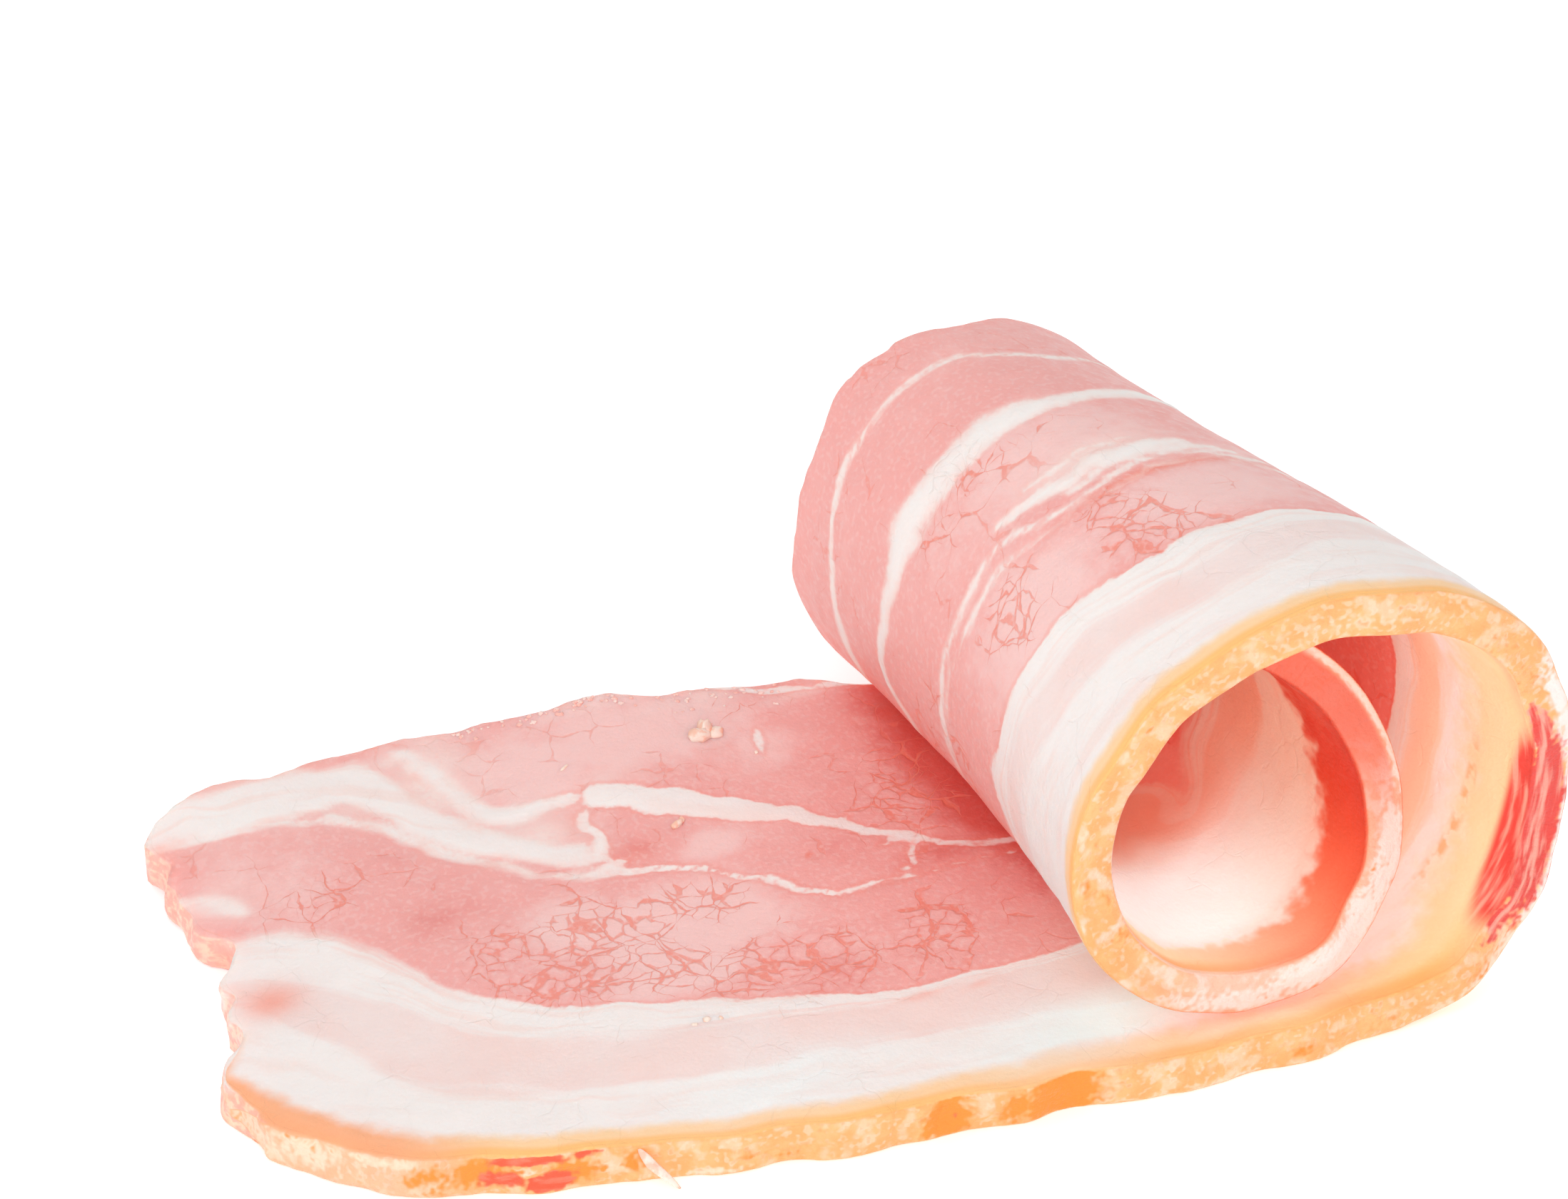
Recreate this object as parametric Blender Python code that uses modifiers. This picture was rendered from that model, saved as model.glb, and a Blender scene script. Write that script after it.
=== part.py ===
"""A thick-cut bacon rasher, one piece of meat: flat at its left end, rolled up loosely at its right.

The rasher is a strip whose place along its length is s, counted from the left cut end, and whose
place across is y, counted from the rind edge (low y) to the meat edge (high y). Its underside is a
cone-shaped sheet: the profile of the roll is drawn once, in the plane y = 0, and shrinks slowly
towards a far point behind the meat edge, as a curved strip does when it is rolled up.
Sizes are in millimetres and the model is in metres. +Y is the roll's axis, +Z is up.
"""

import math

import bmesh
import bpy
import numpy as np

MM = 0.001

# Driving dimensions of the rasher: the sheet, its flat run, and the far point the roll narrows to
THICKNESS = 2.9
STRIP_WIDTH = 46.0
MEAT_EDGE_SHARE = 0.90
FLAT_START = -56.0
FLAT_RUN = 69.0
CONE_X = 4.0
CONE_DISTANCE = 340.0
# The roll's left side draws in behind its rim by PINCH, most of it within PINCH_DEPTH
PINCH = 4.0
PINCH_DEPTH = 12.0
ORIGIN = (-14.0, 23.2)

# The roll as a chain of bends: length along the rasher, and degrees that it turns there
ROLL_BENDS = (
    (8, 43), (9, 47), (9, 26), (9, 35), (9, 32), (9, 34), (9, 36), (9, 44.5),
    (9, 48), (8, 44), (8, 50), (8, 41), (8, 56), (8, 57), (8, 64), (2, 15),
)
BEND_BLEND = 5.0
PATH_STEP = 0.25

# Outline of the strip: y of the rind edge and of the meat edge at places s along it
RIND_EDGE = (
    (0, 10.5), (10, 8.4), (23, 4.3), (34, 1.0), (46, -1.2), (60, -3.9), (72, -4.2), (85, -2.6),
    (103, -3.2), (118, -1.2), (133, 0.3), (146, -1.2), (155, -2.4), (168, 1.1), (180, 7.0), (200, 11.0),
)
MEAT_EDGE = (
    (0, 49.6), (13, 50.3), (25, 50.0), (33, 47.7), (46, 46.2), (52, 43.8), (58, 41.5), (68, 40.7), (83, 41.2),
    (113, 42.4), (143, 43.4), (168, 44.0), (200, 42.5),
)
# Left cut end: how far it stands out to the left at shares of the width, with its notch
CUT_END = (
    (0.0, 0.6), (0.2, 1.2), (0.31, 0.9), (0.40, -1.2), (0.52, -1.5), (0.62, -3.0), (0.70, -1.4),
    (0.80, -0.7), (0.84, -1.2), (0.92, 0.3), (1.0, 0.8),
)
CUT_END_FADE = 6
# Corner radii along and across the strip: rind side and meat side, left end and inner end
LEFT_RIND_CORNER = (14.0, 15.0)
LEFT_MEAT_CORNER = (9.0, 6.0)
INNER_RIND_CORNER = (16.0, 14.0)
INNER_MEAT_CORNER = (8.0, 7.0)

# Uneven edges as waves: height, length along the edge, phase
RIND_WAVES = ((0.16, 9.3, 0.4), (0.10, 5.9, 1.7))
MEAT_WAVES = ((0.45, 17.0, 0.9), (0.22, 7.7, 2.2))
CUT_WAVES = ((0.22, 6.1, 0.3), (0.12, 3.4, 1.1))
# Flat part's meat edge waves up off the board: height, share of the width where it starts, and run
LIFT_HEIGHT = 1.1
LIFT_FROM = 0.55
LIFT_WAVE = 31.0
LIFT_PHASE = 2.0
LIFT_END = 58.0
LIFT_FADE = 20.0
# Shallow dents of the roll's outer turn: depth, place along the strip, and size along and across
DENT_DEPTH = 0.35
DENT_RUN = (74.0, 150.0)
DENT_FADE = 12.0
DENT_SIZE = (7.0, 9.0)
DENT_PHASE = 1.0
# Lumps in the thickness: share of THICKNESS, size along the strip, and turns across it
LUMP_SHARE = 0.045
LUMP_SIZE = (6.1, 11.0)
LUMP_TURNS = (2.0, 7.0)

# Mesh of the strip
STEPS_ALONG = 100
STEPS_ACROSS = 15
EDGE_ROUNDING = 0.35
EDGE_ANGLE = 55.0


def clear_scene():
    for thing in list(bpy.data.objects):
        bpy.data.objects.remove(thing, do_unlink=True)


def blended(curvature):
    """Curvature along the path with its jumps smoothed over BEND_BLEND, twice."""
    reach = int(BEND_BLEND / PATH_STEP) | 1
    window = np.ones(reach) / reach
    for _ in range(2):
        padded = np.pad(curvature, reach, mode="edge")
        curvature = np.convolve(padded, window, "same")[reach:-reach]
    return curvature


def roll_profile():
    """s, x, z and heading of the strip's middle line in the plane y = 0, from its bends."""
    bends = ((FLAT_RUN, 0),) + ROLL_BENDS
    total = sum(length for length, _ in bends)
    s = np.arange(0, total + PATH_STEP / 2, PATH_STEP)
    curvature = np.zeros_like(s)
    start = 0.0
    for length, degrees in bends:
        curvature[(s >= start) & (s <= start + length)] = math.radians(degrees) / length
        start += length
    heading = np.cumsum(blended(curvature)) * PATH_STEP
    x = FLAT_START + np.append(0, np.cumsum(np.cos(heading[:-1]))) * PATH_STEP
    z = THICKNESS / 2 + np.append(0, np.cumsum(np.sin(heading[:-1]))) * PATH_STEP
    return s, x, z, heading


def flowing(points, place):
    """Height at place of a smooth curve through the points, flat where they peak."""
    at, height = np.array(points, float).T
    rise = np.diff(height) / np.diff(at)
    slope = np.concatenate(([rise[0]], np.zeros(len(at) - 2), [rise[-1]]))
    same_way = rise[:-1] * rise[1:] > 0
    both = rise[:-1] + rise[1:]
    slope[1:-1][same_way] = 2 * rise[:-1][same_way] * rise[1:][same_way] / both[same_way]
    place = np.clip(place, at[0], at[-1])
    i = np.clip(np.searchsorted(at, place) - 1, 0, len(at) - 2)
    step = at[i + 1] - at[i]
    t = (place - at[i]) / step
    near = (2 * t**3 - 3 * t**2 + 1) * height[i] + (t**3 - 2 * t**2 + t) * step * slope[i]
    far = (3 * t**2 - 2 * t**3) * height[i + 1] + (t**3 - t**2) * step * slope[i + 1]
    return near + far


def waves(parts, place):
    return sum(height * np.sin(2 * np.pi * place / length + phase) for height, length, phase in parts)


def round_corner(along, across, radii):
    """Distances from the two edges of a corner, moved so that the corner is a quarter ellipse."""
    p = np.clip(1 - along / radii[0], 0, 1)
    q = np.clip(1 - across / radii[1], 0, 1)
    inside = (p > 0) & (q > 0)
    along = np.where(inside, radii[0] * (1 - p * np.sqrt(1 - q * q / 2)), along)
    across = np.where(inside, radii[1] * (1 - q * np.sqrt(1 - p * p / 2)), across)
    return along, across


def place_on_strip(u, v, length):
    """s, y and width share v on the rasher for shares along and across, with its corners and ends."""
    along, across = round_corner(u * length, v * STRIP_WIDTH, LEFT_RIND_CORNER)
    along, back = round_corner(along, STRIP_WIDTH - across, LEFT_MEAT_CORNER)
    rest, across = round_corner(length - along, STRIP_WIDTH - back, INNER_RIND_CORNER)
    rest, back = round_corner(rest, STRIP_WIDTH - across, INNER_MEAT_CORNER)
    s, v = length - rest, 1 - back / STRIP_WIDTH
    stands_out = flowing(CUT_END, v) + waves(CUT_WAVES, v * STRIP_WIDTH)
    s = s - stands_out * (1 - s / length) ** CUT_END_FADE
    rind = flowing(RIND_EDGE, s) + waves(RIND_WAVES, s)
    meat = flowing(MEAT_EDGE, s) + waves(MEAT_WAVES, s)
    return s, rind + (meat - rind) * v, v


def lift(s, v):
    """Height by which the flat part's meat edge waves up off the board."""
    edge = np.clip((v - LIFT_FROM) / (1 - LIFT_FROM), 0, 1) ** 2
    fade = np.clip((LIFT_END - s) / LIFT_FADE, 0, 1)
    return LIFT_HEIGHT * edge * fade * (1 - np.cos(2 * np.pi * s / LIFT_WAVE + LIFT_PHASE)) / 2


def dents(s, y):
    """Depth of the shallow dents, which fade out at both ends of the outer turn."""
    fade_in = np.clip((s - DENT_RUN[0]) / DENT_FADE, 0, 1)
    fade_out = np.clip((DENT_RUN[1] - s) / DENT_FADE, 0, 1)
    dimples = np.sin(s / DENT_SIZE[0]) * np.sin(y / DENT_SIZE[1] + DENT_PHASE)
    return DENT_DEPTH * fade_in * fade_out * dimples


def underside(u, v):
    """Points of the rasher's underside, in millimetres, with s and the width share v at each."""
    path_s, path_x, path_z, path_heading = roll_profile()
    s, y, v = place_on_strip(u, v, path_s[-1])
    x, z, heading = (np.interp(s, path_s, path) for path in (path_x, path_z, path_heading))
    x = x + np.minimum(s, 0)
    shrink = 1 - y / CONE_DISTANCE
    below = THICKNESS / 2 + dents(s, y)
    pinch = PINCH * (1 - np.exp(-np.clip(y, 0, None) / PINCH_DEPTH))
    left_side = np.where(s > FLAT_RUN, np.clip(-np.sin(heading), 0, 1), 0)
    x = CONE_X + (x - CONE_X) * shrink + np.sin(heading) * below + pinch * left_side
    z = THICKNESS / 2 + (z - THICKNESS / 2) * shrink - np.cos(heading) * below
    return np.stack([x - ORIGIN[0], y - ORIGIN[1], z + lift(s, v)], -1), s, v


def thickness_share(s, v):
    """Thickness against THICKNESS: thinner towards the meat edge, and slightly lumpy."""
    along = np.sin(s / LUMP_SIZE[0] + LUMP_TURNS[0] * v)
    across = np.sin(s / LUMP_SIZE[1] + LUMP_TURNS[1] * v)
    return 1 - (1 - MEAT_EDGE_SHARE) * v - LUMP_SHARE * (1 - along * across)


def make_rasher(collection):
    """The strip as a grid laid on the underside, thickened upwards and rounded at its edges."""
    mesh = bpy.data.meshes.new("bacon_rasher")
    bm = bmesh.new()
    bmesh.ops.create_grid(bm, x_segments=STEPS_ALONG, y_segments=STEPS_ACROSS, size=0.5)
    bm.verts.ensure_lookup_table()
    shares = np.array([vert.co[:2] for vert in bm.verts]) + 0.5
    points, s, v = underside(shares[:, 0], shares[:, 1])
    for vert, point in zip(bm.verts, points):
        vert.co = point * MM
    bm.to_mesh(mesh)
    bm.free()
    rasher = bpy.data.objects.new("bacon_rasher", mesh)
    collection.objects.link(rasher)

    group = rasher.vertex_groups.new(name="thickness")
    for index, share in enumerate(thickness_share(s, v)):
        group.add([index], float(share), "REPLACE")
    wall = rasher.modifiers.new("wall", "SOLIDIFY")
    wall.thickness = THICKNESS * MM
    wall.offset = 1.0
    wall.vertex_group = group.name
    wall.use_even_offset = True
    rounding = rasher.modifiers.new("cut_edges", "BEVEL")
    rounding.width = EDGE_ROUNDING * MM
    rounding.segments = 1
    rounding.limit_method = "ANGLE"
    rounding.angle_limit = math.radians(EDGE_ANGLE)
    mesh.shade_smooth()
    return rasher


def cured_meat():
    """Pale pink cured meat, moist but not wet."""
    material = bpy.data.materials.new("cured_meat")
    material.use_nodes = True
    surface = material.node_tree.nodes["Principled BSDF"]
    surface.inputs["Base Color"].default_value = (0.86, 0.42, 0.38, 1)
    surface.inputs["Roughness"].default_value = 0.45
    surface.inputs["Metallic"].default_value = 0.0
    return material


def main():
    clear_scene()
    bacon = bpy.data.collections.new("bacon")
    bpy.context.scene.collection.children.link(bacon)
    rasher = make_rasher(bacon)
    rasher.data.materials.append(cured_meat())


main()
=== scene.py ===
"""The looks of a raw bacon rasher, flat at its left end and rolled up loosely at its right.

The rasher is one closed surface worked out over the strip it was cut as: s runs along it from the
left cut end, y across it from the rind edge to the meat edge, and a height up from its underside.
The same places carry its fat, lean and rind, so the marbling follows the meat round the roll.
Sizes are in millimetres until a mesh is filled, and the model is in metres.
"""

import itertools
import math
from types import SimpleNamespace

import bpy
import numpy as np
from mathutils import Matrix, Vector


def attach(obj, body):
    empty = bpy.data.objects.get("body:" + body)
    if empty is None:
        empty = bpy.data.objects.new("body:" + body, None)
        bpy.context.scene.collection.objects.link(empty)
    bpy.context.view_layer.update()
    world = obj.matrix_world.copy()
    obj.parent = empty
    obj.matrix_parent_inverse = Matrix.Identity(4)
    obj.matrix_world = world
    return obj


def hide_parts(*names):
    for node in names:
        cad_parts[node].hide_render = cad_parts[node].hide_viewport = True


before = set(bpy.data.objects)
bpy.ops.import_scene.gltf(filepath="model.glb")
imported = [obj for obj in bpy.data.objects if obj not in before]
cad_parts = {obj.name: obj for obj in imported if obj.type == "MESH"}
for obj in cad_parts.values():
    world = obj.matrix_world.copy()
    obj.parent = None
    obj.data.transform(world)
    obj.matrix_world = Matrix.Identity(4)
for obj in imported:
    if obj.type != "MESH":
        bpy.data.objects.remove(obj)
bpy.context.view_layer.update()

MM = 0.001

# The sheet as the solid has it
THICKNESS = 2.9
STRIP_WIDTH = 46.0
MEAT_EDGE_SHARE = 0.90
FLAT_START = -56.0
FLAT_RUN = 69.0
CONE_X = 4.0
CONE_DISTANCE = 340.0
PINCH = 4.0
PINCH_DEPTH = 12.0
ORIGIN = (-14.0, 23.2)
ROLL_BENDS = (
    (8, 43), (9, 47), (9, 26), (9, 35), (9, 32), (9, 34), (9, 36), (9, 44.5),
    (9, 48), (8, 44), (8, 50), (8, 41), (8, 56), (8, 57), (8, 64), (2, 15),
)
BEND_BLEND = 5.0
PATH_STEP = 0.25
RIND_EDGE = (
    (0, 10.5), (10, 8.4), (23, 4.3), (34, 1.0), (46, -1.2), (60, -3.9), (72, -4.2), (85, -2.6),
    (103, -3.2), (118, -1.2), (133, 0.3), (146, -1.2), (155, -2.4), (168, 1.1), (180, 7.0), (200, 11.0),
)
MEAT_EDGE = (
    (0, 49.6), (13, 50.3), (25, 50.0), (33, 47.7), (46, 46.2), (52, 43.8), (58, 41.5), (68, 40.7),
    (83, 41.2), (113, 42.4), (143, 43.4), (168, 44.0), (200, 42.5),
)
CUT_END = (
    (0.0, 0.6), (0.2, 1.2), (0.31, 0.9), (0.40, -1.2), (0.52, -1.5), (0.62, -3.0), (0.70, -1.4),
    (0.80, -0.7), (0.84, -1.2), (0.92, 0.3), (1.0, 0.8),
)
CUT_END_FADE = 6
LEFT_RIND_CORNER = (14.0, 15.0)
LEFT_MEAT_CORNER = (9.0, 6.0)
INNER_RIND_CORNER = (16.0, 14.0)
INNER_MEAT_CORNER = (8.0, 7.0)
RIND_WAVES = ((0.16, 9.3, 0.4), (0.10, 5.9, 1.7))
MEAT_WAVES = ((0.45, 17.0, 0.9), (0.22, 7.7, 2.2))
CUT_WAVES = ((0.22, 6.1, 0.3), (0.12, 3.4, 1.1))
LIFT_HEIGHT = 1.1
LIFT_FROM = 0.55
LIFT_WAVE = 31.0
LIFT_PHASE = 2.0
LIFT_END = 58.0
LIFT_FADE = 20.0
DENT_DEPTH = 0.35
DENT_RUN = (74.0, 150.0)
DENT_FADE = 12.0
DENT_SIZE = (7.0, 9.0)
DENT_PHASE = 1.0
LUMP_SHARE = 0.045
LUMP_SIZE = (6.1, 11.0)
LUMP_TURNS = (2.0, 7.0)

# Cells along each side of a block of noise, which then repeats
NOISE_SIDE = 32
# Rows of the skin: row number against millimetres along and across the strip, and up the edge wall
ROWS_ALONG = ((0, 0.0), (178, 75.0), (302, 131.0), (410, 1000.0))
ROWS_ACROSS = ((0, 0.0), (20, 6.0), (103, 46.0))
WALL_ROWS = (0.0, 0.02, 0.07, 0.16, 0.28, 0.42, 0.58, 0.72, 0.84, 0.93, 0.98, 1.0)
WALL_BULGE = 0.34
WALL_SQUARENESS = 3.5
# Rind round the left corner: y where it ends, y where it fades from and to, the run of s that the fade
# is on, and how many millimetres further away from the rind a faded place counts
CORNER_END = 26.0
CORNER_FADE = (17.0, 25.0)
CORNER_RUN = 12.0
CORNER_EXTRA = 2.2

# Borders between the layers of meat, as y at places s: pale streak, its far side, lean, and its far side
STREAK_NEAR = (
    (-3, 31), (2, 28.5), (5, 24), (10, 17), (15, 13.4), (20, 11.2), (30, 8.3), (40, 6.2), (50, 4.0),
    (57, 2.6), (65, 3.2), (75, 4.8), (85, 6), (95, 5.5), (105, 3.7), (115, 4.5), (125, 6.5), (135, 9),
    (150, 12), (165, 12), (200, 15),
)
STREAK_FAR = (
    (-3, 33), (3, 30.8), (6, 29.0), (10, 25.5), (15, 19), (20, 16), (30, 12.8), (40, 10.2), (45, 9.2),
    (50, 9.1), (57, 8.8), (65, 8.3), (75, 8.6), (85, 9), (95, 8.5), (105, 6.5), (115, 8), (125, 9.8),
    (135, 12), (150, 14.6), (165, 16), (200, 18),
)
LEAN_NEAR = (
    (-3, 35.5), (2, 35.5), (5, 35), (8, 33.5), (11, 31), (13, 28), (15, 24.5), (18, 21.3), (22, 18.9),
    (26, 17), (30, 15.4), (35, 13.2), (40, 11.4), (44, 10.3), (48, 9.9), (57, 9.9), (65, 10), (75, 10.6),
    (85, 11), (95, 10.8), (105, 8.8), (115, 10.5), (125, 12), (135, 14), (150, 16.4), (165, 18), (200, 20),
)
LEAN_FAR = (
    (-3, 45.5), (3, 46), (8, 45), (13, 44), (16, 42.5), (18, 40), (20, 37.2), (23, 34.5), (26, 32),
    (29, 30.4), (33, 29.7), (36, 28.2), (38.5, 25.6), (41, 22.9), (45, 21.2), (50, 20.7), (58, 20.6),
    (70, 20), (85, 19.5), (105, 17.8), (115, 18), (125, 19), (135, 20.5), (150, 24), (200, 26),
)
# Strokes of fat over the lean: (s, y, half width) along each stroke
FAT_STROKES = (
    ((12, 48.5, 1.8), (17, 47.5, 2.0), (19.2, 44, 1.9), (20.3, 41, 1.7), (22.5, 38.2, 1.8),
     (25, 35.8, 1.4), (28, 33.6, 0.9), (29.6, 32.6, 0.6)),
    ((29.6, 32.6, 0.5), (30.6, 32.3, 0.45), (30.9, 33.4, 0.45), (30.2, 34.6, 0.4), (30.3, 36, 0.4),
     (31, 37, 0.3)),
    ((14, 44.6, 0.5), (17.5, 41, 0.4), (20.5, 37, 0.35), (25, 32.9, 0.35), (29, 31, 0.35),
     (31.2, 31.2, 0.3)),
    ((21.5, 48.8, 0.6), (23.5, 44, 0.9), (24.5, 40.5, 0.9), (27, 38.9, 0.7), (31, 38.8, 0.4)),
    ((-1, 47.0, 0.8), (3, 47.5, 1.7), (8, 47.4, 2.4), (13, 47.6, 2.3)),
    ((32.5, 38.2, 0.9), (35, 36.8, 1.25), (38, 35, 1.35), (41, 33.1, 1.3), (44, 31, 1.05), (46, 29, 0.65),
     (48, 26.9, 0.4), (51, 24.4, 0.3), (54, 22.5, 0.26), (58, 21.2, 0.26), (64, 20.8, 0.2)),
    ((46.5, 28.3, 0.4), (47.6, 28.9, 0.2)),
    ((31, 29.9, 0.22), (33, 29.7, 0.25), (36, 28.2, 0.24), (38.5, 25.6, 0.22), (41, 22.9, 0.22),
     (43, 21.6, 0.22), (47, 20.9, 0.12), (50, 20.7, 0.02)),
    ((48.2, 24.8, 0.12), (49.6, 25.1, 0.16), (50.4, 24.2, 0.14), (49.5, 23.2, 0.1), (49, 21.9, 0.16),
     (47.9, 21.6, 0.1)),
    ((45.9, 37.6, 0.05), (46.4, 38.9, 0.3), (47, 40.4, 0.1)),
    ((40, 47.6, 0.1), (44, 46.7, 0.25), (48, 45.3, 0.3), (52, 43.7, 0.25), (58, 41.5, 0.15)),
    ((-2, 41.5, 0.3), (2, 40.2, 0.45), (4.5, 38.2, 0.2)),
    ((108, 20.3, 0.3), (112, 21, 0.8), (115, 21.9, 0.8), (119, 22.3, 0.5), (123, 22.2, 0.1)),
    ((105, 19.4, 0.1), (110, 19.8, 0.3), (114, 20.6, 0.3), (118, 21.2, 0.1)),
    ((111, 22.4, 0.1), (115, 23.4, 0.35), (120, 24.0, 0.1)),
    ((64, 20.8, 0.1), (80, 21.2, 0.3), (95, 20.4, 0.3), (105, 18.6, 0.15), (125, 20.4, 0.1),
     (135, 21.4, 0.2), (150, 24.4, 0.3), (170, 26.3, 0.3), (198, 27.3, 0.3)),
    ((62, 31, 0.1), (75, 29.5, 0.6), (90, 30.5, 0.4), (108, 29.3, 0.7), (125, 30.2, 0.8),
     (140, 31.5, 0.5), (160, 33, 0.8), (180, 32, 0.5), (198, 32.5, 0.4)),
    ((66, 37.6, 0.2), (84, 38, 0.4), (104, 37, 0.2), (126, 38.4, 0.5), (150, 38, 0.3)),
)
# Width of the translucent band along the rind edge, on the upper face and on the underside
BAND_UPPER = (
    (0, 2.0), (9, 1.8), (20, 1.45), (32, 1.6), (46, 2.2), (60, 2.9), (70, 3.6), (78, 6.0), (92, 6.5),
    (104, 4.6), (130, 2.2), (140, 2.4), (150, 3.4), (160, 4.2), (172, 5.4), (200, 5.4),
)
BAND_UNDER = 1.6
# Small whorls in the layers: s, y, reach and turn in degrees
WHORLS = ((155.5, 15.0, 3.0, 150), (30.4, 33.6, 1.3, 70), (92.0, 24.0, 3.2, -90), (140.0, 30.0, 3.0, 80))
# Stains on the edge wall: s, height, reach along, reach up, strength. The red ones from s 77 to 91, inside
# the roll, are a crimson crescent of painted shade
RED_ON_EDGE = (
    (12.3, 1.2, 1.6, 0.8, 1.1), (14.0, 2.5, 2.2, 0.32, 1.5), (15.4, 0.9, 1.7, 0.8, 1.3),
    (17.8, 2.55, 1.0, 0.28, 1.0), (77.5, 2.2, 2.4, 0.8, 1.0), (84.5, 1.9, 6.2, 1.5, 1.9),
    (91.0, 2.2, 2.6, 1.0, 1.2), (69.5, 1.8, 2.2, 0.7, 0.35), (39.9, 1.5, 0.5, 0.7, 0.5),
    (47.0, 1.0, 0.6, 0.8, 0.5),
)
ORANGE_ON_EDGE = (
    (8.4, 1.6, 1.6, 0.9, 0.9), (11.0, 1.7, 2.6, 1.1, 1.1), (16.8, 1.3, 2.2, 0.9, 1.1),
    (20.5, 1.9, 1.2, 1.0, 0.9), (39.4, 1.3, 1.5, 1.7, 1.4), (43.2, 1.2, 1.0, 1.5, 1.0),
    (46.4, 1.4, 2.3, 1.9, 1.6), (63.0, 1.0, 5.0, 0.6, 0.4), (98.0, 1.6, 5.0, 0.9, 0.35),
    (30.0, 0.8, 4.0, 0.7, 0.35), (74.0, 1.0, 3.0, 0.9, 0.4), (139.0, 1.4, 5.0, 1.4, 0.32),
)
PALE_ON_EDGE = (
    (1.5, 1.6, 3.0, 1.2, 0.9), (6.0, 2.4, 2.6, 0.5, 0.9), (13.5, 1.8, 2.2, 0.35, 1.0),
    (18.5, 1.4, 1.8, 0.6, 0.9), (25.5, 0.4, 2.4, 0.4, 0.8), (48.8, 0.6, 1.0, 0.8, 0.7),
    (57.0, 0.3, 9.0, 0.3, 0.6), (76.0, 0.5, 6.0, 0.6, 1.0), (55.0, 1.6, 5.0, 1.2, 0.35),
    (110.0, 1.6, 9.0, 0.9, 0.35), (122.0, 1.6, 5.0, 0.8, 0.3), (150.0, 0.8, 5.0, 0.9, 1.0),
    (157.0, 1.3, 5.0, 1.3, 1.6), (163.0, 1.0, 4.0, 1.1, 1.4), (172.0, 0.2, 7.0, 0.4, 1.2),
    (83.0, 0.1, 8.0, 0.5, 1.1), (92.0, 0.5, 5.0, 0.9, 1.1),
)
# Stains on the faces: s, y, reach along, reach across, strength. The red one at s 83.6 by the rind edge is
# part of the crimson crescent of painted shade inside the roll
RED_ON_FACE = (
    (3.8, 28.2, 2.2, 1.8, 1.1), (32.4, 31.4, 2.0, 1.1, 0.45), (54.5, 6.2, 5.0, 1.8, 0.3),
    (155.5, 15.0, 5.0, 4.0, 0.4), (0.5, 44.5, 2.0, 1.6, 0.5), (43.1, 26.0, 0.3, 0.3, 1.6),
    (112.0, 17.9, 7.0, 0.5, 1.3), (29.5, 36.5, 1.2, 1.2, 0.4), (83.6, -2.9, 7.6, 2.3, 1.4),
)
CORAL_ON_FACE = (
    (21.2, 45.6, 0.9, 2.4, 0.9), (23.4, 40.2, 0.7, 1.5, 0.7), (9.0, 50.2, 7.0, 0.7, 0.7),
    (0.8, 45.9, 2.4, 0.6, 0.8), (16.2, 43.0, 0.7, 1.5, 0.4), (19.0, 38.2, 0.7, 1.6, 0.4),
    (23.0, 35.0, 1.5, 0.7, 0.4), (42.5, 9.6, 1.6, 0.3, 0.8), (46.6, 9.0, 1.2, 0.25, 0.6),
)
# Painted light: spots where fat faces the window through the open roll, or the front, paler as if lit
PAINTED_LIGHT_ON_FACE = (
    (149.5, 6.5, 10.0, 5.0, 1.4), (50.0, 2.0, 7.0, 4.0, 0.9), (57.5, -1.5, 4.0, 1.6, 0.6),
    (61.0, 1.0, 6.0, 4.0, 0.9), (32.0, 6.0, 8.0, 3.0, 0.4), (85.0, 10.0, 9.0, 1.6, 0.5),
)
# Lean darker or lighter than its usual tone. The large dark spots from s 57 to 80, at and under the foot of
# the roll, are painted shade
DEEP_LEAN_AND_SHADE = (
    (18.0, 31.0, 4.5, 3.2, 0.55), (13.5, 36.5, 4.0, 3.5, 0.25), (39.0, 14.0, 3.5, 2.4, 0.35),
    (50.0, 14.5, 7.0, 5.0, 0.15), (57.0, 17.0, 4.0, 7.0, 0.3), (59.0, 30.0, 5.0, 12.0, 1.7),
    (45.0, 26.0, 5.0, 3.0, 0.4), (33.0, 32.0, 3.0, 2.0, 0.4), (49.0, 31.0, 5.0, 4.0, 0.3),
    (15.0, 38.5, 3.0, 3.0, 0.35), (52.0, 22.5, 5.0, 2.0, 0.6), (64.0, 26.0, 8.0, 22.0, 1.0),
    (112.0, 18.6, 9.0, 0.9, 0.3), (80.0, 22.0, 12.0, 10.0, 0.3),
)
LIGHT_LEAN = (
    (32.0, 23.0, 6.0, 4.0, 1.4), (30.5, 18.5, 4.5, 2.0, 1.2), (25.0, 26.5, 3.5, 3.5, 0.9),
    (38.5, 43.0, 9.0, 4.0, 0.9), (30.0, 43.0, 5.0, 4.5, 0.8), (38.0, 21.0, 4.0, 2.5, 0.5),
    (46.5, 38.5, 2.5, 2.5, 0.6), (5.0, 41.0, 3.5, 2.5, 0.3), (125.0, 15.0, 6.0, 5.0, 0.8),
    (118.0, 25.0, 12.0, 3.5, 0.6), (38.0, 30.0, 3.0, 1.5, 0.7), (8.0, 38.0, 5.0, 4.0, 0.4),
    (157.0, 15.5, 4.0, 3.5, 1.2), (111.0, 14.0, 6.0, 3.5, 0.7),
)
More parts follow.
